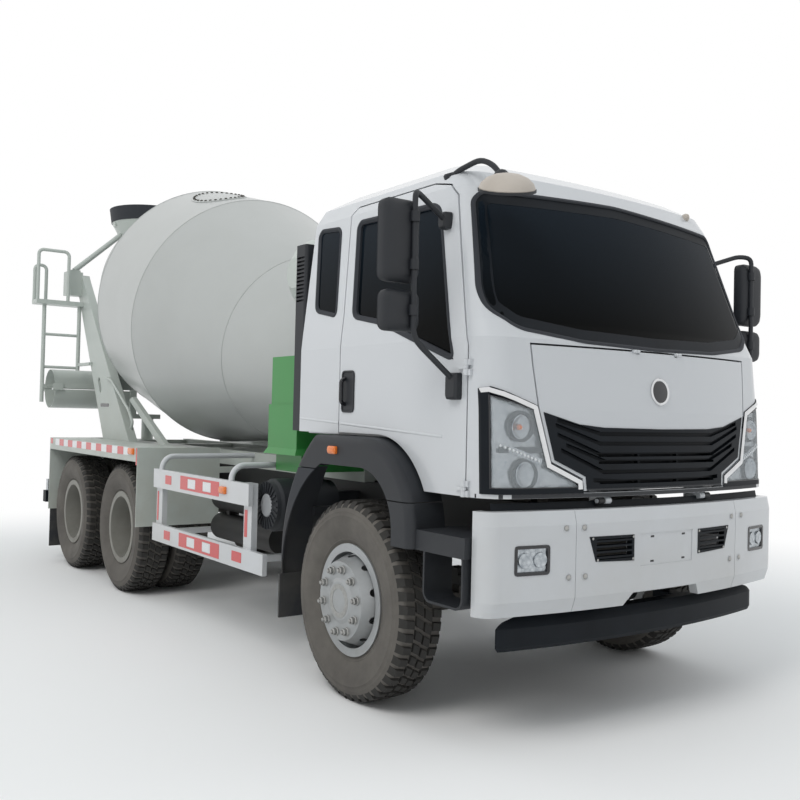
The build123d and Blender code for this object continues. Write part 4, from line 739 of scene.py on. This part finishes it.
door_window = [(2535, 2045), (2828, 1991), (3455, 1775), (3235, 2540), (3180, 2570), (2500, 2590),
               (2475, 2560)]
quarter_window = [(2112, 2110), (2330, 2068), (2345, 2090), (2290, 2560), (2265, 2585), (2070, 2600),
                  (2045, 2570)]
seal = [(11, 0.4), (9, 4), (-2, 5), (-17, -6), (-17, -19.5), (0, -19.5), (0, 0.4)]
thin_seal = [(11, 0.4), (9, 4), (-2, 5), (-14, -3), (-14, -7.5), (0, -7.5), (0, 0.4)]
for side, name in both_sides:
    place = on_cab_side(side)
    piece(f"door_seal_{name}", [moulding(filled_in(rounded(door_window, 50)), seal, place)],
          flap_rubber, f"door_{name}")
    piece(f"quarter_seal_{name}", [moulding(filled_in(rounded(quarter_window, 45)), thin_seal, place)],
          flap_rubber, "cab")
print("seals", len(screen_line), "points round the windscreen")

# %% [markdown]
# ## Doors and panels
# The pull handle stands upright in a dark moulded recess near the door's rear edge. A
# pressed crease runs low along the cab's side and stiffens it.

# %% Doors and panels
handle_path = [(1560, 2), (1575, 30), (1690, 30), (1705, 2)]
ridge = [(-7, 0.2), (-3, 2.6), (3, 2.6), (7, 0.2)]
crease_start, crease_fall = (1990, 1478), 0.0488
for side, name in both_sides:
    place = on_cab_side(side)
    recess = rectangle(2466, 2594, 1516, 1748, 30, 4)
    pull = tube([place(2500, z, height) for z, height in handle_path], 11, 14, 10)
    piece(f"handle_recess_{name}", [
        slab(recess, 0.3, 2.0, place),
        moulding(recess, [(0, 0.3), (0, 6), (-5, 7.5), (-10, 6), (-12, 1.5)], place)],
        trim_plastic, f"door_{name}")
    piece(f"door_handle_{name}", [pull], gloss_plastic, f"door_{name}")
    for part, x0, x1, body in (("cab", 1996, 2434, "cab"), ("door", 2450, 3380, f"door_{name}")):
        line = [(x, crease_start[1] - (x - crease_start[0]) * crease_fall)
                for x in (x0, (x0 + x1) / 2, x1)]
        piece(f"{part}_crease_{name}", [moulding(line, ridge, place, closed=False)], cab_paint, body)
# Black strips paint the shade in the gap under the lamps and under the grille: name, body, height, half
# length, step, section
for name, body, z, half, step, wide, thick in (("lower_trim", "cab", 1150, 1056, 66, 9, 2.5),
                                               ("lid_lower_trim", "front_lid", 1175, 517, 47, 4.5, 5)):
    line = [(y, z) for y in range(-half, half + 1, step)]
    section = [(-wide, 0.3), (-wide, thick), (wide, thick), (wide, 0.3)]
    piece(name, [moulding(line, section, on_cab, closed=False)], trim_plastic, body)

badge_middle = on_cab(0, 1655, 0)
badge_axis = Vector((1, 0, 0.097))
for name, section, finish in (
        ("badge_ring", [(-1, 56), (-1, 70), (5, 70), (9, 66), (9, 61), (5, 56)], chrome),
        ("badge_disc", [(-1, 0), (-1, 57), (4, 57), (6, 30), (6.5, 0)], gloss_plastic)):
    piece(name, [turned(section, badge_middle, badge_axis, 56)], finish, "front_lid")
print("badge left bare at", [round(v) for v in badge_middle])

# %% [markdown]
# ## Headlamps
# A headlamp is a metallised housing with two bowls, a strip of daytime lamps between
# them and one clear cover. A chrome moulding runs down its inner edge. The cover is a
# thin shell over the recess, so that the bowls are seen through it.

# %% Headlamps
lamp_cover = [(1024, 1612), (817, 1548), (748, 1284), (572, 1204), (569, 1186), (1024, 1186)]
chrome_run = [(1046, 1645), (1020, 1650), (800, 1568), (793, 1543), (729, 1301), (549, 1221),
              (546, 1180)]
chrome_section = [(-1, 5.5), (-4, 11), (-14, 12.5), (-25, 9), (-27, 5.5)]
lamp_bowl_rows = ((885, 1466, 56), (866, 1250, 58))  # y, z, mouth radius
dot_count = 11
# The strip and its dots run inwards and down: (y, z) of the outer end, and the way to the inner end
strip_start, strip_way = (1000, 1386), (226, 80)
dots_start, dots_way = (996, 1384), (214, 76)
lamp_dot = turned([(0, 0), (0, 7), (3, 6), (4, 0)], (0, 0, 0), (0, 0, 1), 10)
bowls, bulbs, dots, strips, edges, linings, lenses = [], [], [], [], [], [], []
for side, name in both_sides:
    for y, z, radius in lamp_bowl_rows:
        mouth = on_cab(side * y, z, -3)
        bowls.append(turned([(0, radius), (0, radius - 5), (-9, radius * 0.72), (-15, radius * 0.4),
                             (-17, 0), (-19, 0), (-18, radius)], mouth, (1, 0, 0), 36))
        bulbs.append(turned([(-16, 0), (-16, 13), (-6, 13), (1, 8), (3, 0)], mouth, (1, 0, 0), 20))
    for number in range(dot_count):
        share = (number + 0.5) / dot_count
        y, z = (start - way * share for start, way in zip(dots_start, dots_way))
        dots.append((on_cab(side * y, z, -1), (1, side * 0.15, 0)))
    line = [(side * (strip_start[0] - strip_way[0] * t), strip_start[1] - strip_way[1] * t)
            for t in (0, 0.25, 0.5, 0.75, 1)]
    strips.append(moulding(line, [(-15, -22), (-15, -4), (15, -4), (15, -22)], on_cab, closed=False))
    run = filled_in([(side * y, z) for y, z in chrome_run], 60)
    run = run[:run.index((side * chrome_run[-1][0], chrome_run[-1][1])) + 1]
    piece(f"lamp_chrome_{name}", [moulding(run, chrome_section, on_cab, closed=False)], chrome, "cab")
    cover = [(side * y, z) for y, z in lamp_cover]
    edges.append(moulding(filled_in(cover, 60), [(0, 2.5), (0, 6.8), (-4, 6.8), (-4, 2.5)], on_cab))
    linings.append(sheet(cover, -23.5, -20, on_cab))
    lenses.append(sheet(cover, -1.5, 1.0, on_cab))
for name, parts, finish in (
        ("lamp_bowls", bowls, lamp_housing), ("lamp_strip", strips, lamp_housing),
        ("lamp_bulbs", bulbs[1::2], clear_lens), ("turn_bulbs", bulbs[::2], amber_cap),
        ("lamp_dots", [on_points(lamp_dot, dots, white_tape)], white_tape),
        ("lamp_cover_edges", edges, gloss_plastic), ("lamp_linings", linings, lamp_housing),
        ("lamp_lenses", lenses, clear_lens)):
    piece(name, parts, finish, "cab")
print("lamp dots", len(dots))

# %% [markdown]
# ## Behind the grille
# Black sheets paint the shade inside the nose: one behind the louvres, and one in the
# gap above the bumper. Without them one would look right through the truck's nose.

# %% Behind the grille
# Painted shade: a black sheet behind the louvres stands for the dark inside of the nose
grille_shade_outline = [(380, 1450), (545, 1466), (735, 1510), (688, 1330), (510, 1250), (500, 1192)]
grille_shade_outline += [(-y, z) for y, z in reversed(grille_shade_outline)]
piece("insect_screen", [sheet(grille_shade_outline, -66, -62, on_cab)], black_plastic, "front_lid")
# Painted shade: a black sheet behind the bumper's top stands for the dark gap under the lid
bumper_gap_shade_outline = [(-1040, 1000), (1040, 1000), (1040, 1118), (-1040, 1118)]
piece("gap_panel", [sheet(bumper_gap_shade_outline, -64, -60, on_bumper, 3, 24)], black_plastic, "chassis")
print("nose closed")

# %% [markdown]
# ## Bumper
# Button-head bolts hold the bumper's three mouldings on either side of each seam, and
# four slots wait for a number plate; the shade inside each slot is painted as a thin black
# plate. Each fog lamp has a dark frame and two round reflectors.

# %% Bumper
bumper_bolts = [(side * y, z) for side in (-1, 1)
                for y, z in ((672, 1004), (567, 1003), (654, 776), (557, 775))]
bolt_places = [(on_bumper(y, z, 0), (1, math.copysign(0.12, y), 0)) for y, z in bumper_bolts]
piece("bumper_bolts", [on_points(bolt_head, bolt_places, steel)], steel, "chassis")
cup_half = 19
piece("bumper_bolt_cups", [
    moulding(rectangle(y - cup_half, y + cup_half, z - cup_half, z + cup_half, 18, 5),
             [(0, -1), (0, 2), (-4, 2), (-5, -1)], on_bumper)
    for y, z in bumper_bolts], cab_paint, "chassis")
# Painted shade: each slot's dark inside is a thin black plate set into the bumper's face
piece("plate_slots", [slab(rectangle(y - 13, y + 13, z - 5, z + 5, 4), -4.5, -3.2, on_bumper)
                      for y in (-112, 128) for z in (818, 939)], gloss_plastic, "chassis")
vent_screws = [(on_bumper(side * y, z, 3), (1, 0, 0)) for side in (-1, 1)
               for y, z in ((254, 946), (515, 948), (255, 840), (484, 846))]
piece("vent_screws", [on_points(small_screw, vent_screws, steel)], steel, "chassis")
fog_outline = [(764, 800), (946, 800), (946, 930), (764, 930)]
fog_bowl = [(2, 30), (2, 34), (-3, 36), (-5.5, 36), (-5.5, 0), (-3, 0), (-1, 18)]
fog_frames, fog_bowls = [], []
for side in (-1, 1):
    outline = filled_in(rounded([(side * y, z) for y, z in fog_outline], 16), 40)
    fog_frames.append(moulding(outline, [(3, -2), (3, 3), (-12, 3), (-14, -5.5)], on_bumper))
    fog_bowls += [turned(fog_bowl, on_bumper(side * y, 865, 0), (1, side * 0.2, 0), 28)
                  for y in (812, 893)]
piece("fog_frames", fog_frames, gloss_plastic, "chassis")
piece("fog_bowls", fog_bowls, lamp_housing, "chassis")

tail_x = -3470
for label, finish, y0, y1 in (("stop", red_cap, 706, 838), ("turn", amber_cap, 844, 952),
                              ("reverse", white_tape, 958, 1074)):
    piece(f"{label}_caps", [stacked([
        [Vector((tail_x - height, side * y, z))
         for y, z in rectangle(y0 + inset, y1 - inset, 628 + inset, 732 - inset, 10)]
        for height, inset in ((0.3, 0), (5, 0), (8, 6))]) for side in (-1, 1)], finish, "chassis")
print("bumper bolts", len(bolt_places))

# %% [markdown]
# ## Reflectors and marker lamps
# Red and white reflective film runs along the mudguards and the side guards. It is cut
# in short lengths and stuck on, so each piece is a thin slab with slightly rounded
# corners. The amber side lamps are small domed caps.


# %% Reflectors and marker lamps
def film(x0, x1, z0, z1, place):
    """A length of reflective film, 1.3 mm thick with its glue."""
    return slab(rectangle(x0, x1, z0, z1, 4, 2), 0.3, 1.6, place)


def lamp_cap(x0, x1, z0, z1, place):
    """A domed side lamp."""
    return stacked([[place(a, b, height)
                     for a, b in rectangle(x0 + inset, x1 - inset, z0 + inset, z1 - inset, 12)]
                    for height, inset in ((0.3, 0), (12, 1), (18, 7), (20, 15))])


# Distances of the faces from the truck's middle
guard_y, post_y, mudguard_y, flare_y = 1200, 1170, 1250, 1165
# Each guard rail: foot, top, end of the red band, middles of its two white squares
guard_rails = ((944, 1040, 1184, (725, 985)), (538, 634, 1209, (735, 1001)))
first_mark, mark_step, mark_count = -2316, 281.5, 7
reds, whites, side_caps, flare_caps = [], [], [], []
for side in (-1, 1):
    guard, post, mud, flare = (beside(side, y) for y in (guard_y, post_y, mudguard_y, flare_y))
    for number in range(mark_count):
        x = first_mark + number * mark_step
        reds.append(film(x - 70, x + 70, 1140, 1202, mud))
        whites.append(film(x - 208, x - 74, 1140, 1202, mud))
    reds += [film(-2690, -2620, 1150, 1203, mud), film(-262, -236, 1070, 1203, mud)]
    whites.append(film(-552, -440, 1140, 1202, mud))
    for z0, z1, end, (x0, x1) in guard_rails:
        middle = (z0 + z1) / 2
        reds.append(film(239, 355, middle - 32, middle + 32, guard))
        reds += [film(a, b, z0, z1, guard)
                 for a, b in ((525, x0 - 68), (x0 + 68, x1 - 68), (x1 + 68, end))]
        for x in (x0, x1):
            reds += [film(x - 67, x + 67, z0, middle - 33, guard),
                     film(x - 67, x + 67, middle + 33, z1, guard)]
            whites.append(film(x - 65, x + 65, middle - 31, middle + 31, guard))
    reds += [film(1400, 1540, 558, 622, guard), film(14, 42, 670, 890, post),
             film(1512, 1552, 720, 890, post)]
    side_caps += [lamp_cap(-420, -300, 1148, 1200, mud), lamp_cap(1205, 1300, 968, 1018, guard)]
    flare_caps.append(lamp_cap(2515, 2600, 1290, 1334, flare))
piece("red_film", reds, red_tape, "chassis")
piece("white_film", whites, white_tape, "chassis")
piece("amber_side_lamps", side_caps, amber_cap, "chassis")
piece("amber_flare_lamps", flare_caps, amber_cap, "cab")

pod = [(-14, 0), (-14, 24), (8, 23), (20, 17), (27, 8), (28, 0)]
piece("roof_marker_lamps", [turned(pod, on_cab(side * 716, 2712, 0), (0.75, 0, 0.66), 24)
                            for side in (-1, 1)], dome_plastic, "cab")
print("film pieces", len(reds) + len(whites))

# %% [markdown]
# ## Mirrors
# The large mirror and the wide-angle mirror below it are glass in soft-cornered black
# shells on one bent tube. The shell is a stack of rounded outlines that shrink towards
# its back, which gives the bowed back of a moulded part.

# %% Mirrors
mirror_x, glass_inset = 3368, 14
shell_steps = ((0, 0.96), (5, 1.0), (40, 1.0), (58, 0.93), (70, 0.8), (76, 0.6))  # depth, share
mirror_panes = ((1248, 1447, 2118, 2502), (1240, 1440, 1893, 2084))  # y and z, low and high
# Rows of (distance from the truck's middle, inset, corner radius)
foot_rows = ((1060.5, 0, 14), (1088.5, 2, 14), (1100.5, 12, 14))
head_rows = ((996, 0, 12), (1034, 2, 12), (1046, 10, 12))


def on_mirror(side):
    """Places (y, z, height) on the mirrors' upright face, which looks backwards."""
    return lambda y, z, height: Vector((mirror_x - height, side * y, z))


def block(rows, x0, x1, z0, z1, side):
    """A mounting block on the cab's side that narrows outwards."""
    return stacked([[Vector((x, side * y, z))
                     for x, z in rectangle(x0 + inset, x1 - inset, z0 + inset, z1 - inset, radius)]
                    for y, inset, radius in rows])


for side, name in both_sides:
    face = on_mirror(side)
    shells, panes = [], []
    for y0, y1, z0, z1 in mirror_panes:
        outline = rectangle(y0, y1, z0, z1, 46, 5)
        middle = Vector(((y0 + y1) / 2, (z0 + z1) / 2))
        shells.append(stacked([[face(*(middle + (Vector(p) - middle) * share), -depth) for p in outline]
                               for depth, share in shell_steps]))
        shells.append(moulding(outline, [(-4, 0), (-1, 4), (-9, 7), (-14, 0)], face))
        panes.append(slab(rectangle(y0 + glass_inset, y1 - glass_inset, z0 + glass_inset,
                                    z1 - glass_inset, 34, 5), 0.4, 2.5, face))
    arm = tube([(3315, side * 1020, 2465), (3400, side * 1240, 2545), (3452, side * 1300, 2535),
                (3456, side * 1300, 1862), (3480, side * 1092, 1690)], 14, 60)
    foot = block(foot_rows, 3436, 3524, 1586, 1714, side)
    head = block(head_rows, 3286, 3344, 2420, 2505, side)
    clamps = [turned([(-24, 0), (-24, 22), (24, 22), (24, 0)], (3454, side * 1300, z), (0, 0, 1), 20)
              for z in (2200, 2420, 1990)]
    mirror = piece(f"mirror_set_{name}", [*shells, arm, foot, head, *clamps], trim_plastic,
                   f"door_{name}")
    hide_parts(f"mirror_{name}")
    piece(f"mirror_glass_{name}", panes, chrome, f"door_{name}")

# The dome mirror leans over the screen's right top corner; sections are (along its axis, radius)
dome_middle, dome_axis = Vector((3630, -900, 2572)), Vector((0.30, -0.22, 0.93)).normalized()
boss_middle = dome_middle + dome_axis * 66 + Vector((-66, 20, 12))
dome = [(0, 132), (12, 134), (34, 124), (58, 98), (74, 60), (80, 24), (81, 0), (76, 0), (70, 58),
        (54, 94), (30, 119), (0, 126)]
boss = [(-30, 0), (-28, 24), (0, 40), (20, 34), (34, 18), (38, 0)]
lip = [(-4, 124), (-4, 138), (8, 138), (8, 131)]
glass = [(4, 0), (4, 127), (-3, 126), (-14, 80), (-18, 0)]
dome_back = piece("front_mirror_dome", [turned(dome, dome_middle, dome_axis, 56)], dome_plastic, "cab")
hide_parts("front_mirror")
arm_path = [(3225, -935, 2690), (3290, -925, 2728), (3440, -905, 2760), (3530, -895, 2712), boss_middle]
foot = turned([(-20, 0), (-20, 30), (14, 30), (22, 22), (22, 0)], (3232, -930, 2706), (0, -0.4, 1), 20)
piece("front_mirror_arm", [tube(arm_path, 14, 50), turned(boss, boss_middle, dome_axis, 24), foot],
      trim_plastic, "cab")
piece("front_mirror_lip", [turned(lip, dome_middle, dome_axis, 56)], trim_plastic, "cab")
piece("front_mirror_glass", [turned(glass, dome_middle, dome_axis, 56)], chrome, "cab")
print("mirrors ready")

# %% [markdown]
# ## Drum
# The drum is welded from rolled cones, and each joint shows as a thin raised bead. An
# oval hatch near the top, held by a ring of bolts, lets someone in to chip out old
# concrete. Both follow the drum, so they are written in the drum's own directions:
# along its tilted axis and round it.

# %% Drum
tilt, barrel_radius = math.radians(15), 1114
drum_axis = Vector((math.cos(tilt), 0, -math.sin(tilt)))
drum_up = Vector((math.sin(tilt), 0, math.cos(tilt)))
drum_middle = Vector((-200, 0, 2135))
seam_rows = ((-1615, 1114), (-663, 1114), (445, 775), (1330, 540))  # place along the axis, radius
bead = ((-6, -4), (-4, 2.5), (0, 4), (4, 2.5), (6, -4))
piece("drum_weld_seams", [turned([(s + a, r + b) for a, b in bead], drum_middle, drum_axis, 128)
                          for s, r in seam_rows], drum_paint, "drum")


def on_drum(s, around, height):
    """A point on the drum's barrel: place along the axis, distance round from the top, height."""
    turn = around / barrel_radius
    spoke = drum_up * math.cos(turn) - Vector((0, 1, 0)) * math.sin(turn)
    return drum_middle + drum_axis * s + spoke * (barrel_radius + height)


hatch_along, hatch_around, hatch_bolt_count = -1130, 290, 30
hatch_steps = ((1.0, -3), (1.0, 6), (0.985, 8), (0.6, 8), (0.2, 8))  # share of the oval, height


def hatch_ring(half_length, half_width, height, count):
    """Points on an oval round the hatch's middle."""
    turns = [2 * math.pi * k / count for k in range(count)]
    return [on_drum(hatch_along + half_length * math.cos(t), hatch_around + half_width * math.sin(t),
                    height) for t in turns]


piece("drum_hatch", [stacked([hatch_ring(300 * share, 240 * share, height, 48)
                              for share, height in hatch_steps])], drum_paint, "drum")
# Each bolt stands upright on the drum: it points from its foot to the place above it
feet, above_feet = (hatch_ring(272, 212, height, hatch_bolt_count) for height in (7.5, 107.5))
hatch_bolts = [(foot, over - foot) for foot, over in zip(feet, above_feet)]
piece("drum_hatch_bolts", [on_points(bolt_head, hatch_bolts, iron)], iron, "drum")
print("hatch bolts", len(hatch_bolts))

# %% [markdown]
# ## Tank, filter and rear frame
# Two steel straps hold the water tank on its stand, and a valve stands on top. The air
# filter's end is a ribbed cap with a pale disc. On the drum's rear leg are a bent grab
# rail and a slot, whose shade is painted as a thin black plate.

# %% Tank, filter and rear frame
tank_middle, strap_width = (1490, 0, 2428), 50
piece("tank_straps", [turned([(y, 231), (y, 236), (y + strap_width, 236), (y + strap_width, 231)],
                             tank_middle, (0, 1, 0), 64) for y in (-450, 400)], steel, "chassis")
valve = [(0, 0), (0, 26), (12, 26), (14, 15), (48, 15), (50, 20), (66, 20), (70, 8), (86, 7), (86, 0)]
piece("tank_valve", [turned(valve, (1440, -620, 2652), (0, 0, 1), 20)], iron, "chassis")

filter_middle, rib_count, rib_half = Vector((1640, 0, 925)), 24, 4
disc = [(1068, 0), (1068, 72), (1086, 72), (1090, 66), (1092, 0)]
piece("filter_disc", [turned(disc, filter_middle, (0, -1, 0), 44)], grey_plastic, "chassis")
ribs = []
for number in range(rib_count):
    t = 2 * math.pi * number / rib_count
    spoke = Vector((math.cos(t), 0, math.sin(t)))
    across = Vector((-math.sin(t), 0, math.cos(t))) * rib_half
    ribs.append(stacked([[filter_middle + spoke * radius + across * way + Vector((0, y, 0))
                          for way, y in ((1, -1080), (-1, -1080), (-1, -1094), (1, -1094))]
                         for radius in (80, 146)]))
piece("filter_ribs", ribs, trim_plastic, "chassis")

leg_y, rail_y = 850, 872
rail_path = ((-2235, 852, 1798), (-2225, rail_y, 1798), (-2080, rail_y, 1783), (-1560, rail_y, 1498),
             (-1442, rail_y, 1385), (-1480, rail_y, 1330), (-1490, 852, 1325))
for side, name in both_sides:
    piece(f"leg_rail_{name}", [tube([(x, side * y, z) for x, y, z in rail_path], 13, 40)],
          body_paint, "chassis")
    # Painted shade: the slot's dark inside is a thin black plate on the leg
    piece(f"leg_slot_{name}", [slab(rectangle(-2440, -2190, 1524, 1556, 14, 4), 0.3, 3,
                                    beside(side, leg_y))], gloss_plastic, "chassis")
print("rear frame ready")

# %% [markdown]
# ## Seats
# Each seat is a moulded foam pad on a pedestal, with a back pad and a head pad, all in
# woven cloth. They are seen only dimly through the tinted glass. A pad is a grid on a
# block's six sides that is thinned at the rim and crowned in the middle, and then
# smoothed with a subdivision surface.


# %% Seats
def cushion(low, high, crown, name):
    """A crowned closed pad between two corners; its sides pull in between the corners."""
    low, high = Vector(low), Vector(high)
    middle, half = (low + high) / 2, (high - low) / 2
    thin = min(range(3), key=lambda i: half[i])
    a, b = [i for i in range(3) if i != thin]
    made = bmesh.new()
    bmesh.ops.create_cube(made, size=2)
    bmesh.ops.subdivide_edges(made, edges=made.edges, cuts=5, use_grid_fill=True)
    for v in made.verts:
        p = v.co
        edge = max(abs(p[a]), abs(p[b]))
        puff = (1 - p[a] ** 2) * (1 - p[b] ** 2)
        pinch = 1 - 0.05 * (1 - abs(p[thin])) * edge ** 4
        p[thin] = p[thin] * (0.72 + 0.28 * (1 - edge ** 6)) + math.copysign(crown * puff, p[thin]) * (
            abs(p[thin]) > 0.9)
        p[a] *= pinch
        p[b] *= pinch
        v.co = Vector((middle[i] + half[i] * p[i]) / 1000 for i in range(3))
    pad = shown(made, name, seat_cloth)
    smooth = pad.modifiers.new("smooth", "SUBSURF")
    smooth.levels = smooth.render_levels = 1
    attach(pad, "cab")


pedestal_rows = ((1441, 0), (1460, 8), (1700, 30), (1738, 0))  # height, inset
pedestals = []
for label, y in (("right", -560), ("middle", 0), ("left", 560)):
    for part, x0, x1, half, z0, z1, crown in (
            ("seat", 2310, 2775, 225, 1735, 1858, 0.12), ("back", 2190, 2322, 225, 1850, 2270, 0.12),
            ("head", 2200, 2310, 130, 2285, 2415, 0.1)):
        cushion((x0, y - half, z0), (x1, y + half, z1), crown, f"{part}_pad_{label}")
    pedestals.append(stacked([[Vector((a, b, z)) for a, b in rectangle(
        2320 + inset, 2740 - inset, y - 200 + inset, y + 200 - inset, 30)]
        for z, inset in pedestal_rows]))
seat_base = piece("seat_pedestals", pedestals, trim_plastic, "cab")
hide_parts("seats")
print("seats", len(pedestals))

# %% [markdown]
# ## Light and floor
# The photograph is cut out on white: soft daylight from a high sky. The sky is brighter
# above than near the ground, which shades the round drum from cool white on top to a
# warm grey below. One large soft lamp stands high at the front right. Camera,
# reflections and clear parts see plain white.


# %% Light and floor
def seen_by(tree, *kinds):
    """1 for the kinds of rays that are to see plain white."""
    path = node(tree, "ShaderNodeLightPath")
    seen = path.outputs[kinds[0]]
    for kind in kinds[1:]:
        seen = node(tree, "ShaderNodeMath", {0: seen, 1: path.outputs[kind]},
                    operation="MAXIMUM").outputs["Value"]
    return seen


def mixed(tree, share, first, second, end):
    """Mixes two shaders by a share into the tree's end node."""
    both = node(tree, "ShaderNodeMixShader", {0: share, 1: first, 2: second})
    tree.links.new(both.outputs["Shader"], tree.nodes[end].inputs["Surface"])


world = bpy.data.worlds.new("sky")
bpy.context.scene.world = world
world.use_nodes = True
tree = world.node_tree
background = tree.nodes["Background"]
background.inputs["Strength"].default_value = 0.8
direction = node(tree, "ShaderNodeTexCoord").outputs["Generated"]
rise = node(tree, "ShaderNodeSeparateXYZ", {"Vector": direction}).outputs["Z"]
fade = node(tree, "ShaderNodeMapRange", {"Value": rise}, From_Min=-0.2, From_Max=0.9)
sky = node(tree, "ShaderNodeValToRGB", {"Fac": fade.outputs["Result"]})
sky.color_ramp.elements[0].color = (0.30, 0.29, 0.27, 1)
sky.color_ramp.elements[1].color = (0.92, 0.97, 1.0, 1)
tree.links.new(sky.outputs["Color"], background.inputs["Color"])
white = node(tree, "ShaderNodeBackground", Color=(1, 1, 1, 1), Strength=1.0)
seen = seen_by(tree, "Is Camera Ray", "Is Glossy Ray", "Is Transmission Ray")
mixed(tree, seen, background.outputs["Background"], white.outputs["Background"], "World Output")

# Each lamp: name, place, diameter, power in watts, colour
for name, place, size, power, colour in (("high_right", (5, -9, 11), 7, 620, (1.0, 0.985, 0.96)),
                                         ("left_fill", (6, 9, 6), 7, 160, (1, 1, 1)),
                                         ("rear_fill", (-11, -4, 7), 6, 160, (1, 1, 1))):
    data = bpy.data.lights.new(name, "AREA")
    data.shape = "DISK"
    data.size = size
    data.energy = power
    data.color = colour
    lamp = bpy.data.objects.new(name, data)
    bpy.context.scene.collection.objects.link(lamp)
    lamp.visible_glossy = False  # no lamp shows as a bright disc in the paint
    lamp.location = place
    lamp.rotation_euler = (Vector((0, 0, 1.5)) - Vector(place)).to_track_quat("-Z", "Y").to_euler()

# The floor shows a soft shadow near the truck and fades to white further out
bpy.ops.mesh.primitive_plane_add(size=120, location=(0, 0, 0))
floor = bpy.context.object
floor.name = "floor"
floor_material, tree, shader = new_material("pale_floor", Roughness=0.9)
shader.inputs["Base Color"].default_value = (0.9, 0.9, 0.9, 1)
away = node(tree, "ShaderNodeVectorMath", {0: object_place(tree)}, operation="LENGTH")
edge = node(tree, "ShaderNodeMapRange", {"Value": away.outputs["Value"]}, From_Min=4.0, From_Max=7.5,
            interpolation_type="SMOOTHSTEP")
far = node(tree, "ShaderNodeMath", {0: seen_by(tree, "Is Camera Ray", "Is Glossy Ray"),
                                    1: edge.outputs["Result"]}, operation="MULTIPLY")
glow = node(tree, "ShaderNodeEmission", Color=(1, 1, 1, 1), Strength=1.0)
mixed(tree, far.outputs["Value"], shader.outputs["BSDF"], glow.outputs["Emission"], "Material Output")
floor.data.materials.append(floor_material)

# %% [markdown]
# ## View
# The colours are shown as they are written.

# %% View
bpy.context.scene.view_settings.view_transform = "Standard"
